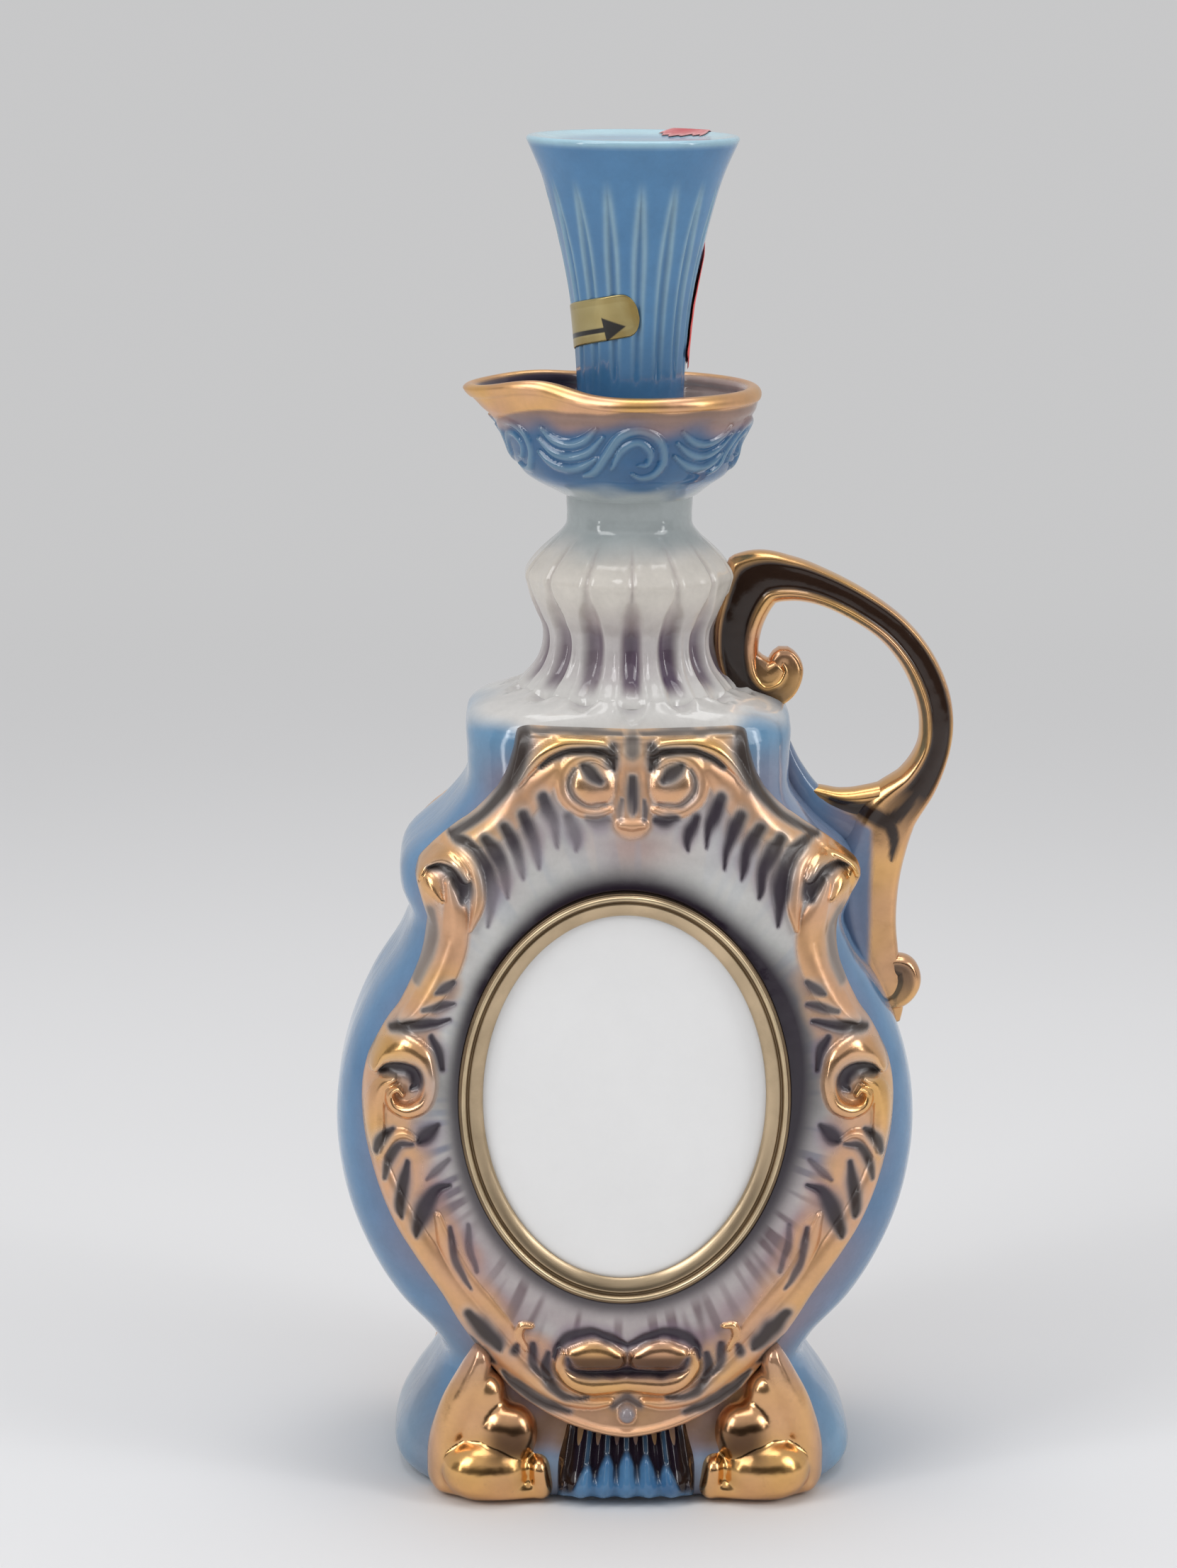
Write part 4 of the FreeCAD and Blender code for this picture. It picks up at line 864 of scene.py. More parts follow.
WAVE = [
    (0.75, [
        (-12, -5.2, 0.5), (-9.2, -4, 1), (-6.6, -0.6, 1.1), (-3.6, 3.4, 1.1), (0.7, 4.9, 1.1),
        (4.8, 2.9, 1.1), (6.2, -1.1, 1.1), (4.4, -4.4, 1), (1.3, -5.4, 0.7), (-1, -4.4, 0.4),
    ]),
    (0.65, [
        (-5.4, -3.4, 0.4), (-3.2, 0.6, 0.9), (0.4, 2.3, 0.9), (3.1, 0.2, 0.9), (2.4, -2.4, 0.6),
        (0.6, -2.6, 0.3),
    ]),
    (0.7, [(-22.6, 4.4, 0.4), (-19.6, 2, 1), (-15.6, 1.2, 1), (-11.6, 2.4, 1), (-8.8, 5, 0.4)]),
    (0.7, [(-23.6, 2, 0.4), (-20, -0.6, 1), (-15.8, -1.4, 1), (-11, -0.2, 1), (-7.4, 3.2, 0.4)]),
    (0.7, [(-24, -0.8, 0.4), (-20.2, -3.2, 1), (-15.8, -4, 1), (-11.8, -3, 1), (-8.8, -1.2, 0.4)]),
]
WAVES, WAVE_LONG, WAVE_HIGH, FIRST_WAVE = 5, 32.6, 227.6, math.radians(-89)
print("bowl rows:", len(bowl_rows))


# %% Press the bowl
LIP_OUT, LIP_PINCH, BOWL_TUCK, WING_FRONT, WING_BACK = 8.2, 2.4, 1.8, 2.6, 0.9
LIP_TALL, WAVE_SUNK, WING_FROM, WING_TALL = 23, 0.5, 222, 15
FOAM, POOL_BLUE = (0.42, 0.46, 0.46), (0.40, 0.58, 0.68)
# The plum and the flesh pink are painted shade and light inside the bowl, plum on the lip's side.
PLUM_SHADE, FLESH_LIT = (0.075, 0.052, 0.07), (0.74, 0.61, 0.53)


def wave_relief(turn, z):
    """Height of the running waves round the bowl."""
    along, relief = off_flute(turn, WAVES, FIRST_WAVE) * WAVE_LONG, np.zeros(len(z))
    for rise, stroke in WAVE:
        for shift in (-WAVE_LONG, 0, WAVE_LONG):
            across = across_stroke(along + shift, z - WAVE_HIGH, stroke)
            relief = np.maximum(relief, rise * dome(across) ** 0.8)
    return relief


def press_bowl(u, v):
    turn = TURN * u
    radius, z, zone = bowl_rows[step_of(v, bowl_rows)].T
    rolled = (np.degrees(np.arctan2(z - RIM_HIGH, radius - RIM_MIDDLE)) + 90) % 360 - 90
    within = np.maximum(zone >= INSIDE, (zone == RIM) * ease(115, 150, rolled))
    off_lip = np.abs((turn % TURN) - math.pi)
    lip, pinch = bell(off_lip, 0, 0.56), bell(off_lip, 1.02, 0.36)
    free = zone != THROAT
    pulled = free * np.clip((z - BOWL_FOOT) / LIP_TALL, 0, 1) ** 2.5
    radius = radius + (LIP_OUT * lip - LIP_PINCH * pinch) * pulled
    tucked = ease(0.1, 0.9, np.cos(turn)) * ease(215.6, 219.0, z) * ease(232.5, 225.0, z)
    radius = radius - BOWL_TUCK * tucked * free
    wing = bell(off_lip, 0.70, 0.36) * np.where(turn > math.pi, WING_FRONT, WING_BACK)
    z = z + wing * free * np.clip((z - WING_FROM) / WING_TALL, 0, 1) ** 2
    relief = wave_relief(turn, z)
    belt = (zone == OUTSIDE) * ease(219.8, 222.4, z) * ease(234.6, 232.8, z)
    place = spun(radius + belt * (relief - WAVE_SUNK), turn, z)
    return place, glaze_bowl(place, zone, belt, relief, lip, within)


def glaze_bowl(place, zone, belt, relief, lip, within):
    x, y, z = place.T
    drift = cloud(place, 12, 51)
    gilt = (zone == OUTSIDE) * ease(235.9, 236.7, z + 0.35 * drift + 3.6 * lip)
    gilt = np.where(zone == RIM, 1 - within, gilt)
    sprayed = ease(230.4, 233.6, z + 0.9 * drift + 0.8 * lip)
    # Painted shade inside the bowl: plum on the lip's side, turning to a lit flesh pink across it.
    inside = tone(PLUM_SHADE, FLESH_LIT, ease(-22, 16, x - 0.2 * y) + 0.1 * drift)
    paint = coats(
        BLUE * 0.85,
        (DEEP_BLUE, 0.45 + 0.2 * drift),
        (PALE_BLUE * 0.6, 0.4 * belt * ease(0.3, 0.72, relief)),
        (DEEP_BLUE * 0.8, 0.55 * belt * ease(0.3, 0.0, relief)),
        (FOAM, ease(220.6, 216.6, z + drift)),
        (tone(MAUVE * 0.75, ROSE * 0.9, 0.35 + 0.4 * drift), 0.85 * sprayed),
        # Painted dark reflection: a brown line under the rolled rim, fainter towards the lip.
        (BROWN, 0.75 * (zone == OUTSIDE) * ease(234.6, 235.8, z) * ease(0.7, 0.2, lip)),
        (TAN, 0.75 * ease(232.4, 235.0, z + 0.9 * drift)),
        (tone(inside, POOL_BLUE, ease(224, 220.3, z)), within),
        (tone(GOLD, PINK_GOLD, 0.55 + 0.4 * drift), gilt),
    )
    return {"paint": paint, "lustre": gilt * 0.94, "matte": 0.4 * gilt}


china_bowl = moulded("lipped_china_bowl", press_bowl, columns=360, rows=len(bowl_rows) - 1)
stand_for(china_bowl, "vessel", "bowl_glaze", "pouring_bowl")

# %% [markdown]
# ## The stopper
# The stopper is a flared column with sixteen shallow flutes, pointed at the top like lancets. The
# glaze is thin on their edges, so these are paler, and palest on the rim. Below its seat an
# unglazed spigot carries the cork.

# %% Press the stopper
SPIGOT_LINE = (
    (0.0, 196.1), (5.4, 196.1), (5.95, 196.6), (5.95, 208.0), (5.95, 219.6), (6.4, 220.15),
    (11.2, 220.15),
)
STOPPER_LINE = (
    (220.15, 11.45), (226, 11.5), (238.7, 11.5), (248.6, 12), (257.6, 13), (266.6, 14.7),
    (275.6, 16.9), (284.6, 19.7), (289.6, 21.9), (291, 22.55),
)
STOPPER_RIM = ((22.62, 291.35), (22.5, 291.7), (22.1, 291.98), (21.5, 292.05))
STOPPER_DISH = (
    (0.0, 290.25), (4.0, 290.3), (9.0, 290.45), (14.0, 290.8), (18.0, 291.3), (19.8, 291.7),
    (20.7, 291.95),
)
LANCETS, FIRST_LANCET, LANCET_DEEP, LANCET_RIDGE = 16, math.radians(-86), 0.42, 0.14
GLAZED_FROM, BISCUIT = 220.3, (0.60, 0.55, 0.48)


def stopper_round(z):
    return flow(STOPPER_LINE, z)[:, 0]


flare_levels = np.linspace(220.5, 291.0, 132)
flare = zip(stopper_round(flare_levels), flare_levels)
stopper_rows = np.array([*SPIGOT_LINE, *flare, *STOPPER_RIM, *STOPPER_DISH[::-1]])
side_start, dish_start = len(SPIGOT_LINE), len(stopper_rows) - len(STOPPER_DISH)
rim_start = side_start + len(flare_levels)


def press_stopper(u, v):
    turn, step = TURN * u, step_of(v, stopper_rows)
    radius, z = stopper_rows[step].T
    off = np.abs(off_flute(turn, LANCETS, FIRST_LANCET))
    half = 0.03 + 0.165 * ease(285, 265, z)
    hollow, ridge = dome(off / half), bell(off, half, 0.10)
    fade = ease(236, 250, z) * ease(284.5, 278, z) * (step >= side_start) * (step <= rim_start)
    radius = radius - fade * (LANCET_DEEP * hollow - LANCET_RIDGE * ridge)
    place = spun(radius, turn, z)
    rim_pale = 0.82 * ease(290.0, 291.4, z) * ease(15, 19, radius)
    paint = coats(
        BLUE * (0.82, 0.98, 1.06),
        (DEEP_BLUE, 0.16 + 0.14 * cloud(place, 20, 61)),
        (DEEP_BLUE, 0.3 * fade * hollow),
        (PALE_BLUE * 0.8, 0.62 * fade * ridge * (0.4 + 0.6 * ease(240, 266, z))),
        (DEEP_BLUE, 0.55 * ease(256, 232, z)),
        (PALE_BLUE, rim_pale + 0.45 * (step >= dish_start)),
        (BISCUIT, 1.0 * (z < GLAZED_FROM)),
    )
    return place, {"paint": paint}


rows, columns = len(stopper_rows) - 1, LANCETS * 18
china_stopper = moulded("flared_china_stopper", press_stopper, columns=columns, rows=rows)
stand_for(china_stopper, "stopper", "stopper_glaze", "stopper")

# %% [markdown]
# ## The cork
# The cork is a plain turned sleeve, so it is modelled as by hand: a cylinder whose end faces are
# inset to the spigot's size, bridged into a tunnel, and bevelled round the outside.

# %% Turn the cork
CORK_ROUND, CORK_BORE, CORK_LOW, CORK_TOP, CORK_BEVEL = 9.52, 6.06, 198.0, 219.95, 0.9
CORK_CRISP = math.radians(35)


def choose(kind, parts, wanted):
    """Selects the faces or edges of the active mesh that are wanted, and goes on in edit mode."""
    bpy.ops.object.mode_set(mode="EDIT")
    bpy.ops.mesh.select_mode(type=kind)
    bpy.ops.mesh.select_all(action="DESELECT")
    bpy.ops.object.mode_set(mode="OBJECT")
    for part in parts:
        part.select = wanted(part)
    bpy.ops.object.mode_set(mode="EDIT")


def on_rim(edge):
    a, b = [cork.data.vertices[i].co for i in edge.vertices]
    outer = min(a.xy.length, b.xy.length) > (CORK_ROUND - 0.3) * MM
    return outer and abs(a.z - b.z) < 1e-6


bpy.ops.object.select_all(action="DESELECT")
bpy.ops.mesh.primitive_cylinder_add(
    vertices=96,
    radius=CORK_ROUND * MM,
    depth=(CORK_TOP - CORK_LOW) * MM,
    location=(0, 0, (CORK_TOP + CORK_LOW) / 2 * MM),
)
cork = bpy.context.object
cork.name = cork.data.name = "cork_sleeve_turned"
bpy.ops.object.transform_apply(location=True, rotation=False, scale=False)
choose("FACE", cork.data.polygons, lambda face: abs(face.normal.z) > 0.9)
bpy.ops.mesh.inset(thickness=(CORK_ROUND - CORK_BORE) * MM)
bpy.ops.mesh.bridge_edge_loops()
bpy.ops.object.mode_set(mode="OBJECT")
choose("EDGE", cork.data.edges, on_rim)
bpy.ops.mesh.bevel(offset=CORK_BEVEL * MM, segments=2)
bpy.ops.object.mode_set(mode="OBJECT")
close_up(cork)
bpy.ops.object.shade_smooth_by_angle(angle=CORK_CRISP)
stand_for(cork, "cork", "cork", "cork_sleeve")
print("cork faces", len(cork.data.polygons))

# %% [markdown]
# ## The scroll handle
# The handle is a strap with rolled edges and a hollow face, which starts in a volute at the neck,
# swings out and down, throws a short arm to the shoulder, and runs out in a leaf on the flank. Five
# straps are joined: the loop, the arm, the curl at the leaf's end, the eye of the volute and a
# glazed web under the arm. Each is a table of x, height, band, depth and darkness of its face,
# joined by a smooth line, with the same section all along. The darkness is a painted dark
# reflection, brown over the gilding.

# %% Lines of the straps
HANDLE_LOOP = (
    (31.6, 178.2, 3.6, 6.4, 0.3), (33.6, 180.2, 4.6, 7, 0.3), (35.4, 177.4, 5.4, 7.8, 0.3),
    (33.6, 173.4, 6.2, 8.6, 0.5), (29, 172, 7.2, 9, 0.8), (25, 175.6, 8.6, 9.4, 1),
    (23.5, 182.5, 9.6, 9.8, 1), (24.7, 190, 10.4, 10.2, 1), (28.6, 196.2, 10.6, 10.7, 1),
    (35, 197.1, 9.2, 11, 1), (42.5, 195.2, 7.6, 11, 1), (50.5, 191.2, 7.1, 11, 1),
    (57.4, 186.2, 7, 11, 1), (62.6, 179.9, 7.3, 11, 1), (66, 172.8, 7.5, 11, 1),
    (67.3, 166, 7.4, 11, 1), (66.6, 159.4, 7.4, 11, 1), (63.2, 152.4, 9.4, 11, 0.9),
    (57.2, 145.6, 13.4, 11, 0.4), (54, 138.5, 15, 10.6, 0.05), (52.6, 130.5, 14.8, 10.2, 0.1),
    (52.9, 122, 13.4, 9.6, 0.1), (55, 114, 10.6, 8.8, 0.1), (57.8, 107.2, 7.6, 7.4, 0.1),
    (59.2, 102, 5, 5.4, 0.1), (59.8, 98.4, 2.4, 3, 0.1),
)
HANDLE_ARM = (
    (66.6, 158, 3, 6, 0.6), (62.6, 151.8, 7, 9.2, 0.8), (57.4, 148.2, 9.2, 9.8, 1),
    (51.4, 146.8, 9.2, 9.4, 1), (46.4, 147.4, 7.4, 8.8, 0.9), (42.2, 149.2, 5, 7.8, 0.5),
    (38.2, 151, 2.8, 5.6, 0.2),
)
HANDLE_EYE = (
    (25.6, 182.4, 3, 7, 0.6), (27.4, 178.4, 6, 8, 0.6), (30.2, 176.2, 7.4, 8.6, 0.3),
    (32.8, 178.4, 4.8, 7.6, 0.1),
)
HANDLE_WEB = (
    (57, 143.4, 9, 8.4, 0), (50, 142.8, 9.6, 7.8, 0), (44, 145, 9, 7.6, 0),
    (39.4, 149.6, 6.6, 7, 0), (36, 155.6, 4.8, 6.4, 0), (34.2, 161, 3, 5, 0),
)
HANDLE_CURL = (
    (57, 102.8, 3.6, 6.2, 0.2), (60.4, 104.4, 5.6, 7.2, 0.3), (62.2, 107.4, 6.2, 7.6, 0.5),
    (61.4, 110.4, 6, 7.4, 0.6), (58.8, 110.8, 5, 6.8, 0.8), (58.4, 108.6, 4, 5.8, 0.9),
)
# Strokes of painted dark reflection on the arm and down the top of the tail.
HANDLE_DARK_REFLECTION = (
    [
        (44, 149.4, 0.5), (48.6, 147.8, 1.2), (53, 146.2, 1.8), (56.4, 144.6, 2),
        (59.6, 146.4, 1.7), (62.8, 150.4, 1.2),
    ],
    [
        (57.2, 144, 1.6), (58.3, 140.4, 1.2), (57.9, 135.8, 0.5),
    ],
)
NO_SPUR, LOOP_SPUR = (0, 0, 0), (28.0, 195.6, 3.6)
STRAPS = (
    ("loop", 64, 330, HANDLE_LOOP, 1.0, LOOP_SPUR, 0.0),
    ("arm", 48, 60, HANDLE_ARM, 0.9, NO_SPUR, 0.0),
    ("curl", 40, 60, HANDLE_CURL, 0.5, NO_SPUR, 0.0),
    ("eye", 40, 30, HANDLE_EYE, 0.6, NO_SPUR, 0.0),
    ("web", 40, 50, HANDLE_WEB, 0.0, NO_SPUR, 1.0),
)


# %% Pull the straps
STRAP_FINE, STRAP_END, STRAP_SQUARE, SPUR_WIDE = 1200, 0.72, 2.5, 3.4


def press_strap(u, v, rows, route, hollow, spur, glazed):
    fine = through(route, STRAP_FINE)
    far = np.r_[0, np.cumsum(np.hypot(np.diff(fine[:, 0]), np.diff(fine[:, 1])))]
    evenly = np.linspace(0, far[-1], rows - 3)
    line = np.array([np.interp(evenly, far, column) for column in fine.T]).T
    way = np.gradient(line[:, :2], axis=0)
    way /= np.hypot(way[:, 0], way[:, 1])[:, None]
    thorn = spur[2] * np.exp(-np.hypot(line[:, 0] - spur[0], line[:, 1] - spur[1]) / SPUR_WIDE)

    step = np.rint(v * rows).astype(int)
    from_end = np.minimum(step, rows - step)
    size = np.select([from_end == 0, from_end == 1], [0.0, STRAP_END], 1.0)
    at = np.clip(step - 2, 0, rows - 4)
    x0, z0, band, deep, shade = line[at].T
    across, out = oblong(TURN * u, size, size, STRAP_SQUARE)
    face = ease(-0.56, -0.24, across) * ease(0.90, 0.64, across) * ease(0.2, 0.6, np.abs(out))
    worn = hollow * np.minimum(1, np.minimum(at, rows - 4 - at) / 8) * (0.4 + 0.6 * shade)
    aside = across * band / 2 + thorn[at] * np.clip(across, 0, 1) ** 2
    x, z = x0 - way[at, 1] * aside, z0 + way[at, 0] * aside
    place = np.c_[x, out * deep / 2 * (1 - 0.3 * worn * face), z]
    # Painted dark reflection on the face of the strap, and along the brown strokes.
    dark = np.clip(1.3 * shade * face * (0.94 + 0.1 * cloud(place, 10, 72)), 0, 1)
    for stroke in HANDLE_DARK_REFLECTION:
        dark = np.maximum(dark, ease(1.6, 0.6, across_stroke(x, z, stroke)))
    arm_side = ease(-0.8, 0.8, z - 150.3 + 0.70 * (x - 42.5)) * ease(41.0, 44.0, x)
    blue = np.maximum(glazed, ease(148, 143, z) * ease(54.2, 52.6, x)) * (1 - arm_side)
    paint = coats(
        GOLD,
        (PINK_GOLD, 0.45 + 0.5 * cloud(place, 16, 71)),
        (BROWN * 0.55, dark),
        (tone(BLUE, MAUVE, 0.4 + 0.3 * cloud(place, 12, 73)), blue),
    )
    return place, {"paint": paint, "lustre": (1 - 0.96 * dark) * (1 - blue)}


straps = [
    moulded("scroll_handle_" + name, press_strap, rows, *shape, columns=columns, rows=rows)
    for name, columns, rows, *shape in STRAPS
]
pick(*straps[::-1])
bpy.ops.object.join()
handle = straps[0]
handle.name = handle.data.name = "scroll_handle"
stand_for(handle, "vessel", "gilding", "handle")
print("handle faces", len(handle.data.polygons))

# %% [markdown]
# ## The scroll feet
# A foot is a lump of clay: a toe, a knuckle above it, a slope that climbs the body, and a small toe
# on the inside. Balls are laid along these lines, joined, pressed into one skin by a voxel remesh
# and smoothed. One foot is made, and the other three are copies, turned over to their corners, each
# with its own mesh.

# %% Lay the balls of one foot: a count, and knots of a place and three half-sizes
FOOT_BALLS = [
    (3, [(29.8, 33, 6.4, 9.4, 7.7, 7), (31.2, 32.8, 6.4, 9.2, 7.8, 7)]),
    (4, [(24.6, 32, 14.4, 5.6, 6.2, 6.6), (27, 31.8, 15, 5.8, 6, 6.4)]),
    (30, [
        (39.8, 27.2, 4.4, 3.6, 6.2, 4.6), (39.2, 27.8, 10.4, 4, 6.2, 5.2),
        (36.6, 29, 18, 4.3, 5.8, 5.8), (33.6, 30.2, 25, 3.8, 5.4, 5.4),
        (31.8, 31, 30.6, 2.6, 4.4, 4.2),
    ]),
    (8, [(31, 29.6, 15, 6.6, 5.8, 6), (31, 30, 23, 5, 5.2, 5.4)]),
    (8, [(18.4, 33.2, 3.4, 2.8, 5.4, 3.6), (19, 33.6, 7.4, 2.6, 5, 3.2)]),
    (14, [
        (20.4, 32.4, 2.6, 3, 5.4, 2.8), (30, 32.6, 2.6, 4.2, 6.6, 2.8),
        (39.2, 28.6, 2.6, 3.2, 5.8, 2.8),
    ]),
]
FOOT_VOXEL, FOOT_RUBS = 0.40, 34


def lay_balls(name, runs):
    """Balls along lines, pressed into one skin."""
    bpy.ops.object.select_all(action="DESELECT")
    laid = []
    for count, knots in runs:
        for x, y, z, a, b, c in through(knots, count):
            middle = (x * MM, -y * MM, z * MM)
            bpy.ops.mesh.primitive_uv_sphere_add(segments=20, ring_count=12, location=middle)
            bpy.context.object.scale = (a * MM, b * MM, c * MM)
            laid.append(bpy.context.object)
    pick(*laid[::-1])
    bpy.ops.object.join()
    lump = bpy.context.object
    lump.name = lump.data.name = name
    bpy.ops.object.transform_apply(location=True, rotation=True, scale=True)
    press = lump.modifiers.new("press", "REMESH")
    press.mode, press.voxel_size = "VOXEL", FOOT_VOXEL * MM
    rub = lump.modifiers.new("rub", "SMOOTH")
    rub.factor, rub.iterations = 0.5, FOOT_RUBS
    for modifier in ("press", "rub"):
        bpy.ops.object.modifier_apply(modifier=modifier)
    return lump


first_foot = lay_balls("scroll_foot_front_right", FOOT_BALLS)
print("foot faces", len(first_foot.data.polygons))

# %% Gild the foot and copy it to its corners
FOOT_LOW = 0.02
FOOT_FLIPS = {"front_left": (-1, 1, 1), "back_right": (1, -1, 1), "back_left": (-1, -1, 1)}
foot_places = places_of(first_foot)
foot_places[:, 2] = np.maximum(foot_places[:, 2], FOOT_LOW)
first_foot.data.vertices.foreach_set("co", (foot_places * MM).ravel())
foot_x, _, foot_z = foot_places.T
# Painted dark reflection: brown on the face of the knuckle above the toe.
foot_dark_reflection = np.exp(-(((foot_x - 25.0) / 5.4) ** 4) - ((foot_z - 13.6) / 4.2) ** 4)
foot_film = coats(
    GOLD,
    (PINK_GOLD, 0.45 + 0.5 * cloud(foot_places, 14, 81)),
    (ROSE, 0.5 * ease(22, 32, foot_z) + 0.35 * ease(38.5, 43, foot_x)),
    (BROWN * 1.7, 0.92 * foot_dark_reflection),
)
foot_bare = 0.5 * ease(22, 32, foot_z) + 0.3 * ease(39, 44, foot_x)
tint(first_foot, {"paint": foot_film, "lustre": 1 - np.clip(foot_bare, 0, 0.8)})
close_up(first_foot)
feet = {"front_right": first_foot}
for corner, flip in FOOT_FLIPS.items():
    feet[corner] = foot = first_foot.copy()
    foot.data = first_foot.data.copy()
    foot.name = foot.data.name = "scroll_foot_" + corner
    bpy.context.scene.collection.objects.link(foot)
    foot.data.vertices.foreach_set("co", (places_of(first_foot) * flip * MM).ravel())
    close_up(foot)
for corner, foot in feet.items():
    stand_for(foot, "vessel", "gilding", corner + "_foot")

# %% [markdown]
# ## The shell fan
# Between the feet lies a shell: fingers with round tips, and dark ribs that run up from them to the
# frame's skirt. Their dark is painted shade: the recess under the skirt is near black and the ribs
# a dark blue. It is a cushion of two skins, which meet all round, with the ribs pressed into the
# front one.

# %% Press both fans
FAN_HALF_WIDE, FAN_LOW, FAN_TALL, FAN_PITCH, FAN_FRONT = 15.0, 0.35, 17.4, 4.5, 40.5
FINGER_HIGH, FINGER_LONG, FINGER_RISE, RIB_DEEP, FAN_SUNK = 11.2, 3.2, 1.5, 1.1, 0.6


def cushion(v):
    """Which points lie on a cushion's front skin, and how far along their skin all points lie."""
    near = v <= 0.5
    return near, np.where(near, 2 * v, 2 - 2 * v)


def press_fan(u, v, side):
    near, up = cushion(v)
    x, z = FAN_HALF_WIDE * (2 * u - 1), FAN_LOW + FAN_TALL * up
    rib = 0.5 + 0.5 * np.cos(x * (1 + 0.016 * (z - 7)) / FAN_PITCH * TURN)
    skin = face_of_body(x, z)
    rim = np.sqrt(dome((2 * u - 1) ** 4) * dome((2 * up - 1) ** 4))
    finger = ease(0.7, -0.7, z - (FINGER_HIGH - 0.035 * x**2 - FINGER_LONG * (1 - rib) ** 1.4))
    apron = 0.7 + 2.0 * ease(16, 3, z)
    groove = RIB_DEEP * ease(4.0, 7.5, z) * (1 - rib) ** 1.2
    front = apron + FINGER_RISE * finger * (0.4 + 0.6 * rib) + 0.5 * rib - groove
    front = rim * front - (1 - rim) * FAN_SUNK
    y = skin + np.where(near, front, -FAN_SUNK - 0.5 * rim)
    place = np.c_[x, side * np.minimum(y, FAN_FRONT), z]
    # Painted shade under the skirt: near black above the fingers, dark blue ribs, purple between.
    paint = coats(
        PURPLE * 0.3,
        (BLUE * 0.4, 0.6 * ease(0.75, 1.0, rib)),
        (tone(BLUE, DEEP_BLUE, 0.45 + 0.3 * cloud(place, 8, 91)), finger),
        (PURPLE * 0.5, 0.75 * ease(0.4, 0.05, rib) * ease(4, 7, z)),
        (BROWN * 0.6, 0.9 * ease(10.6, 12.2, np.abs(x)) * ease(1, 4, z)),
    )
    return place, {"paint": paint, "lustre": 0.5 * ease(10.5, 13, np.abs(x)) * rib}


for face, side in FACES.items():
    fan = moulded("shell_fan_" + face, press_fan, side, columns=168, rows=120)
    stand_for(fan, "vessel", "body_glaze", face + "_shell_fan")

# %% [markdown]
# ## The foil label and the paper strip
# A tag of gold foil is stuck round the stem, with one rounded end and a printed arrow. A red paper
# strip was torn when the bottle was opened: what is left runs down the back of the stopper and over
# its rim. Both are thin cushions, two skins that meet at the edge, laid on the stopper's own
# outline.

# %% Stick on the label
LABEL_LONG, LABEL_TALL, LABEL_HIGH, LABEL_STEM, LABEL_ROUND = 24.4, 9.2, 253.2, 12.0, 3.2
LABEL_TURN, LABEL_LEAN = math.radians(218.0), math.radians(12.0)
LABEL_OFF, FOIL_THICK = 0.17, 0.2
ARROW_LOW, ARROW_START, ARROW_NECK, ARROW_POINT, ARROW_SPREAD = -2.2, -11.4, 4.4, 9.2, 0.55
FOIL_PALE, FOIL_DEEP, FOIL_EDGE = (0.52, 0.43, 0.20), (0.36, 0.25, 0.07), (0.30, 0.2, 0.05)
INK = (0.012, 0.010, 0.008)


def press_label(u, v):
    near, up = cushion(v)
    a = LABEL_LONG * (u - 0.5)
    round_end = np.clip((a - (LABEL_LONG / 2 - LABEL_ROUND)) / LABEL_ROUND, 0, 1)
    tall = LABEL_TALL * np.sqrt(np.clip(1 - 0.999 * round_end**2.4, 0.02, 1))
    b = (up - 0.5) * tall
    turn = LABEL_TURN + (a * math.cos(LABEL_LEAN) - b * math.sin(LABEL_LEAN)) / LABEL_STEM
    z = LABEL_HIGH + a * math.sin(LABEL_LEAN) + b * math.cos(LABEL_LEAN)
    edge = np.minimum(np.minimum(u, 1 - u) * LABEL_LONG, np.minimum(up, 1 - up) * tall)
    radius = stopper_round(z) + LABEL_OFF + FOIL_THICK * near * ease(0.0, 0.25, edge)
    place = spun(radius, turn, z)
    off_arrow = np.abs(b - ARROW_LOW)
    shaft = ease(0.62, 0.42, off_arrow) * (a > ARROW_START) * (a < ARROW_NECK + 0.8)
    head = ease(0.15, -0.15, off_arrow - ARROW_SPREAD * (ARROW_POINT - a)) * (a > ARROW_NECK)
    ink = np.clip(np.maximum(shaft, head), 0, 1)
    paint = coats(
        FOIL_PALE,
        (FOIL_DEEP, 0.25 + 0.3 * cloud(place, 6, 95) + 0.7 * round_end),
        (FOIL_EDGE, ease(0.75, 0.5, np.abs(edge - 0.9)) * 0.25),
        (INK, ink),
    )
    return place, {"paint": paint, "lustre": 0.75 * (1 - ink)}


label = moulded("foil_label", press_label, columns=150, rows=112)
stand_for(label, "stopper", "label_foil", "open_label")

# %% Paste on the strip
STRIP_TURN, STRIP_WIDE, STRIP_FLAP = math.radians(51.0), 15.4, 8.6
STRIP_LOW, STRIP_TOP = 242.6, 291.2
STRIP_BEND, STRIP_INSET, STRIP_TEAR = 1.2, 0.9, 2.0
STRIP_OFF, PAPER_THICK, PEEL_OFF = 0.12, 0.22, 0.5
STRIP_BED = STOPPER_DISH + ((21.5, 292.0), (23.0, 292.0))
# The brightest red is painted light on the peeled edge, which lies in shade.
STRIP_RED, STRIP_FADED, STRIP_LIT_RED = (0.46, 0.10, 0.11), (0.60, 0.30, 0.30), (0.85, 0.13, 0.12)


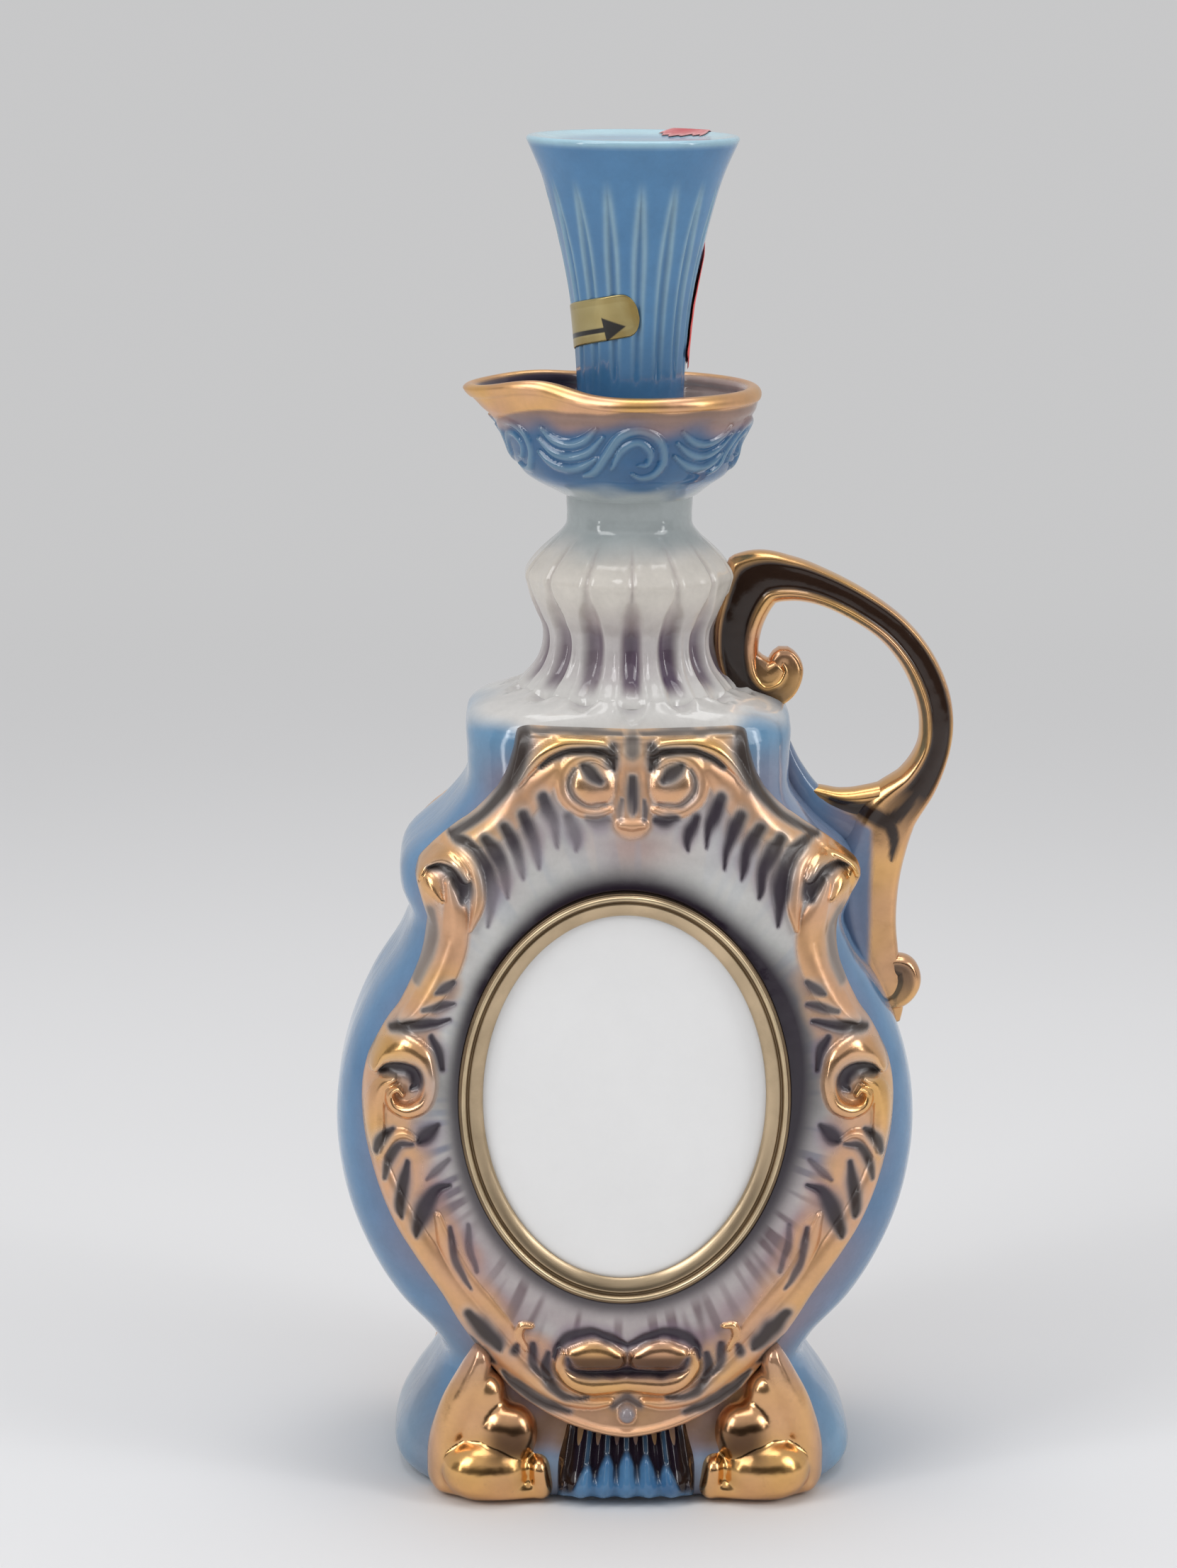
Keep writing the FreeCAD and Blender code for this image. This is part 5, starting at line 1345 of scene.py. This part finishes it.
def press_strip(u, v):
    near, run = cushion(v)
    side_long = STRIP_TOP - STRIP_LOW
    torn_low = 1.6 * np.cos(9 * u + 1) + 0.9 * np.cos(31 * u) + 0.5 * np.cos(67 * u + 2)
    torn_top = 1.2 * np.cos(7 * u + 2) + 0.7 * np.cos(29 * u + 1)
    full = side_long + STRIP_FLAP - STRIP_TEAR + torn_top
    along = (torn_low + STRIP_TEAR) * (1 - run) + full * run
    level = STRIP_LOW + along
    wave = 0.35 * np.cos(along * 0.45) + 0.2 * np.cos(along * 1.3 + 1)
    across = (u - 0.5) * (STRIP_WIDE - 4.4 * ease(276, 290, level) + 2 * wave * np.abs(2 * u - 1))
    across = across - 6.4 * (1 - u) ** 2 * ease(276, 263, level)
    z_side = STRIP_LOW + np.minimum(along, side_long)
    bend = np.clip((along - side_long) / STRIP_BEND, 0, 1)
    edge = np.minimum(np.minimum(u, 1 - u) * STRIP_WIDE, np.minimum(run, 1 - run) * 50)
    peel = (1 - u) ** 3 * ease(275, 266, z_side)
    off = STRIP_OFF + PAPER_THICK * near * ease(0, 0.3, edge) + PEEL_OFF * peel

    base = stopper_round(z_side)
    over = np.maximum(along - side_long - STRIP_BEND, 0)
    reach = base + off * (1 - bend) - STRIP_INSET * bend**2 - over
    dish = flow(STRIP_BED, np.maximum(base - STRIP_INSET - over, 0))[:, 0]
    on_top = bend > 0.99
    z = np.where(on_top, dish + 0.1 + off, z_side + bend * (STRIP_INSET + off))
    turn = across / base
    chord = np.sqrt(np.clip((base - STRIP_INSET) ** 2 - across**2, 0, None))
    x = np.where(on_top, chord - over, reach * np.cos(turn))
    y = np.where(on_top, across, reach * np.sin(turn))
    c, s = math.cos(STRIP_TURN), math.sin(STRIP_TURN)
    place = np.c_[x * c - y * s, x * s + y * c, z]
    paint = coats(
        STRIP_RED,
        (STRIP_FADED, 0.35 + 0.3 * cloud(place, 7, 97) + ease(1.2, 0.2, edge)),
        # Painted light: the peeled edge lies in shade and is painted a brighter red.
        (STRIP_LIT_RED, 1.6 * peel),
    )
    return place, {"paint": paint}


strip = moulded("paper_strip", press_strip, columns=72, rows=200)
stand_for(strip, "stopper", "strip_paper", "seal_strip")

# %% [markdown]
# ## Materials
# Node maths reads best as a formula, so a small class wraps a socket and lets `+`, `-` and `*`
# build the nodes. The painter's colours, with the painted shade, highlights and reflections, come
# from the `paint` attribute, the metal share from `lustre` and the dullness from `matte`. Each
# material adds what is too fine for the mesh: pooled glaze, worn gilding, brushed brass, cork
# pores, creased foil and paper fibres.

# %% A socket that knows sums
class Socket:
    """A shader socket on which sums build Math nodes."""

    def __init__(self, tree, socket=None):
        self.tree, self.socket = tree, socket

    def give(self, value, inlet):
        """Links a socket to an inlet, or sets a plain value there."""
        if isinstance(value, Socket):
            self.tree.links.new(value.socket, inlet)
        else:
            inlet.default_value = value

    def node(self, kind, *values, outlet=0, settings=(), **named):
        """A new node: values go to its first inlets, named ones to the inlets of that name."""
        made = self.tree.nodes.new(kind)
        for key, value in settings:
            setattr(made, key, value)
        for inlet, value in zip(made.inputs, values):
            self.give(value, inlet)
        for key, value in named.items():
            self.give(value, made.inputs[key.replace("_", " ")])
        return Socket(self.tree, made.outputs[outlet])

    def maths(self, operation, first, second):
        return self.node("ShaderNodeMath", first, second, settings=[("operation", operation)])

    def __add__(self, other):
        return self.maths("ADD", self, other)

    def __sub__(self, other):
        return self.maths("SUBTRACT", self, other)

    def __rsub__(self, other):
        return self.maths("SUBTRACT", other, self)

    def __mul__(self, other):
        return self.maths("MULTIPLY", self, other)

    __radd__, __rmul__ = __add__, __mul__

    def between(self, low, high):
        return self.node("ShaderNodeMapRange", Value=self, From_Min=low, From_Max=high)


# %% A look: one material and what its formulas start from
class Look(Socket):
    """One material: its tree, its Principled shader and the sockets most formulas start from."""

    def __init__(self, name, **settings):
        self.material = bpy.data.materials.new(name)
        self.material.use_nodes = True
        super().__init__(self.material.node_tree)
        self.shader = self.tree.nodes["Principled BSDF"]
        self.place = self.node("ShaderNodeTexCoord", outlet="Object")
        self.set(**settings)

    def set(self, **inputs):
        for key, value in inputs.items():
            self.give(value, self.shader.inputs[key.replace("_", " ")])

    def mark(self, name, outlet="Fac"):
        return self.node("ShaderNodeAttribute", outlet=outlet, settings=[("attribute_name", name)])

    def noise(self, scale, detail, rough, stretch=None):
        place = self.place
        if stretch:
            place = self.node("ShaderNodeMapping", Vector=place, Scale=stretch)
        look = {"Scale": scale, "Detail": detail, "Roughness": rough}
        return self.node("ShaderNodeTexNoise", Vector=place, **look)

    def paint(self, shade):
        """The painter's colours, made lighter or darker by a shade."""
        colours, scale = self.mark("paint", "Color"), [("operation", "SCALE")]
        return self.node("ShaderNodeVectorMath", Vector=colours, Scale=shade, settings=scale)

    def mixed(self, share, first, second):
        made = self.tree.nodes.new("ShaderNodeMix")
        made.data_type = "RGBA"
        for index, value in ((0, share), (6, first), (7, second)):
            self.give(value, made.inputs[index])
        return Socket(self.tree, made.outputs[2])

    def bump(self, height, strength, distance):
        bumped = self.node("ShaderNodeBump", Height=height, Strength=strength, Distance=distance)
        self.set(Normal=bumped)


print("shader helpers ready")


# %% Glazed and lustred china
def china(name, rough, wave, pooled=1.0):
    look = Look(name, IOR=1.48, Coat_Weight=0.15, Coat_Roughness=0.03)
    lustre, matte = look.mark("lustre"), look.mark("matte")
    pool, fine = look.noise(170, 4.0, 0.55), look.noise(900, 3.0, 0.6)
    wear = look.noise(420, 5.0, 0.65).between(0.30, 0.44)
    look.set(
        Base_Color=look.paint((pool - 0.5) * (0.3 * pooled) + (fine - 0.5) * (0.14 * pooled) + 1.0),
        Metallic=lustre * (wear * 0.12 + 0.88),
        Roughness=(pool - 0.5) * 0.10 + lustre * 0.13 + matte * 0.30 + (fine - 0.5) * 0.05 + rough,
    )
    look.bump(look.noise(95, 2.0, 0.5) + fine * 0.05, wave, 0.0006)
    return look


glaze = china("china_glaze", 0.10, 0.5)
gilt_china = china("gilt_china", 0.11, 0.7)
plate_glaze = china("oval_glaze", 0.32, 0.15, 0.12)
for look in (glaze, gilt_china, plate_glaze):
    print(look.material.name, "nodes", len(look.tree.nodes))

# %% Brass, cork, foil and paper
BARK_DARK, BARK_PALE = (0.30, 0.17, 0.075, 1), (0.58, 0.40, 0.22, 1)
BARK_PORE = (0.10, 0.052, 0.024, 1)

brass = Look("drawn_brass", Metallic=1.0)
grain = brass.noise(60, 4.0, 0.6, (1.0, 14.0, 1.0))
stain = brass.noise(130, 5.0, 0.6).between(0.45, 0.75)
brass.set(Base_Color=brass.paint(1.06 - stain * 0.22), Roughness=0.24 + grain * 0.16 + stain * 0.08)
brass.bump(grain, 0.25, 0.0002)

bark = Look("turned_cork")
grains = bark.noise(620, 5.0, 0.65)
pores = bark.noise(330, 2.0, 0.5, (1.0, 1.0, 0.45)).between(0.60, 0.68)
bark_paint = bark.mixed(pores, bark.mixed(grains, BARK_DARK, BARK_PALE), BARK_PORE)
bark.set(Base_Color=bark_paint, Roughness=0.70 + grains * 0.2)
bark.bump(grains * 0.4 - pores, 0.6, 0.0007)

foil = Look("gold_foil", Coat_Weight=0.2)
creases = foil.noise(240, 3.0, 0.6)
foil.set(Base_Color=foil.mark("paint", "Color"), Metallic=foil.mark("lustre"))
foil.set(Roughness=0.22 + creases * 0.2)
foil.bump(creases, 0.5, 0.0003)

paper = Look("strip_paper")
fibres = paper.noise(800, 4.0, 0.65, (1.0, 1.0, 0.35))
paper.set(Base_Color=paper.paint(0.72 + fibres * 0.56), Roughness=0.62 + fibres * 0.25)
paper.bump(fibres, 0.5, 0.0004)
for look in (brass, bark, foil, paper):
    print(look.material.name, "nodes", len(look.tree.nodes))

# %% Give every piece its material
wears = {
    "body_glaze": glaze, "neck_glaze": glaze, "bowl_glaze": glaze, "stopper_glaze": glaze,
    "gilding": gilt_china, "frame_lustre": gilt_china, "medallion_glaze": plate_glaze,
    "bezel_metal": brass, "cork": bark, "label_foil": foil, "strip_paper": paper,
}
for piece, slot in made_pieces:
    piece.data.materials.clear()
    piece.data.materials.append(wears[slot].material)
print("materials on", len(made_pieces), "pieces")

# %% [markdown]
# ## Stage, light and camera
# A wide pale floor melts into a pale surround. Soft lamps stand on both sides and above, and a dark
# card goes round behind the camera, which the gilding mirrors as brown. The floor's far part and
# the surround glow only for rays that the camera sends, directly or by a mirror, so they put no
# light on the decanter. The camera stands where the photo's camera stood, a little above and a
# little left.

# %% Pale floor
PALE = (0.575, 0.575, 0.58, 1)
FLOOR_DARK, FLOOR_LIGHT = (0.72, 0.72, 0.725, 1), (0.75, 0.75, 0.755, 1)
FLOOR_FAR, FLOOR_LOW, GLOW_FROM, GLOW_FULL = 14000, -0.4, 330, 1250
SEEN_RAYS = ("Camera", "Glossy", "Transmission")


def press_floor(u, v):
    radius = FLOOR_FAR * v**2.2
    return spun(radius, TURN * u, 0 * u + FLOOR_LOW), {"glow": ease(GLOW_FROM, GLOW_FULL, radius)}


def seen_share(tree):
    """1 for what the camera sees directly or in a mirror, 0 for light on its way."""
    rays = [tree.node("ShaderNodeLightPath", outlet=f"Is {kind} Ray") for kind in SEEN_RAYS]
    return tree.maths("MINIMUM", rays[0] + rays[1] + rays[2], 1.0)


floor = moulded("pale_floor", press_floor, columns=96, rows=70)
floor_paper = Look("floor_paper", Roughness=0.8)
floor_grain = floor_paper.noise(3.0, 2.0, 0.5)
floor_paper.set(Base_Color=floor_paper.mixed(floor_grain, FLOOR_DARK, FLOOR_LIGHT))
far_glow = floor_paper.node("ShaderNodeEmission", Color=PALE)
near_paper = Socket(floor_paper.tree, floor_paper.shader.outputs[0])
glow = floor_paper.mark("glow") * seen_share(floor_paper)
floor_mix = floor_paper.node("ShaderNodeMixShader", glow, near_paper, far_glow)
floor_paper.give(floor_mix, floor_paper.tree.nodes["Material Output"].inputs["Surface"])
floor.data.materials.append(floor_paper.material)

# %% Lamps: place, aim, width, height and watts
LAMPS = {
    "key": ((-0.95, -0.75, 1.15), (0, 0, 0.13), 0.6, 0.8, 6.5),
    "fill": ((1.05, -0.55, 0.85), (0, 0, 0.13), 0.5, 0.7, 3.6),
    "top": ((0.0, 0.1, 1.5), (0, 0, 0.1), 1.0, 1.0, 9.0),
    "left_strip": ((-0.72, -0.42, 0.36), (0, 0, 0.14), 0.07, 0.5, 0.8),
    "right_strip": ((0.72, -0.36, 0.36), (0, 0, 0.14), 0.07, 0.5, 0.7),
}
for name, (place, aim, wide, tall, watts) in LAMPS.items():
    bpy.ops.object.light_add(type="AREA", location=place)
    lamp = bpy.context.object
    lamp.name = lamp.data.name = name
    lamp.data.shape, lamp.data.energy = "RECTANGLE", watts
    lamp.data.size, lamp.data.size_y = wide, tall
    lamp.rotation_euler = (Vector(aim) - Vector(place)).to_track_quat("-Z", "Y").to_euler()
print("lamps:", len(LAMPS))

# %% The dark card
CARD_FAR, CARD_TALL, CARD_MIDDLE, CARD_CUT = 1.45, 0.78, 0.41, -0.1
CARD_BROWN = (0.012, 0.009, 0.008, 1)
bpy.ops.mesh.primitive_cylinder_add(
    vertices=64,
    radius=CARD_FAR,
    depth=CARD_TALL,
    end_fill_type="NOTHING",
    location=(0, 0, CARD_MIDDLE),
)
card = bpy.context.object
card.name = card.data.name = "dark_card"
bpy.ops.object.transform_apply(location=True, rotation=True, scale=True)
bpy.ops.object.mode_set(mode="EDIT")
bpy.ops.mesh.select_all(action="SELECT")
bpy.ops.mesh.bisect(plane_co=(0, CARD_CUT, 0), plane_no=(0, 1, 0), clear_outer=True)
bpy.ops.object.mode_set(mode="OBJECT")
card_look = Look("dark_card", Base_Color=CARD_BROWN, Roughness=0.9)
card.data.materials.append(card_look.material)
card.visible_camera = card.visible_shadow = card.visible_diffuse = False
print("card faces", len(card.data.polygons))

# %% World and camera
SKY = (0.42, 0.42, 0.43, 1)
LENS, SENSOR, NEAR, FAR = 96.84, 36.0, 0.01, 20
CAMERA_PLACE = (-0.00838, -0.900, 0.34547)
CAMERA_SWING, CAMERA_TILT, CAMERA_ROLL = (math.radians(angle) for angle in (-1.5, 77.849, 0.43))
world = bpy.data.worlds.new("studio")
world.use_nodes = True
studio = Socket(world.node_tree)
sky, surround = (studio.node("ShaderNodeBackground", Color=colour) for colour in (SKY, PALE))
world_mix = studio.node("ShaderNodeMixShader", seen_share(studio), sky, surround)
studio.give(world_mix, world.node_tree.nodes["World Output"].inputs["Surface"])
bpy.context.scene.world = world
bpy.ops.object.camera_add()
camera = bpy.context.object
camera.data.lens, camera.data.sensor_width = LENS, SENSOR
camera.data.clip_start, camera.data.clip_end = NEAR, FAR
camera.matrix_world = (
    Matrix.Rotation(CAMERA_SWING, 4, "Z")
    @ Matrix.Translation(CAMERA_PLACE)
    @ Matrix.Rotation(CAMERA_TILT, 4, "X")
    @ Matrix.Rotation(CAMERA_ROLL, 4, "Z")
)
bpy.context.scene.camera = camera
bpy.context.scene.view_settings.view_transform = "Standard"
print("camera stands at", [round(v, 3) for v in camera.matrix_world.translation])

# %% Measure the visual box and finish
low, high = Vector((9, 9, 9)), Vector((-9, -9, -9))
for piece, _ in made_pieces:
    for vertex in piece.data.vertices:
        low = Vector(map(min, low, vertex.co))
        high = Vector(map(max, high, vertex.co))
print("visual", [round(v, 4) for v in (*low, *high)])
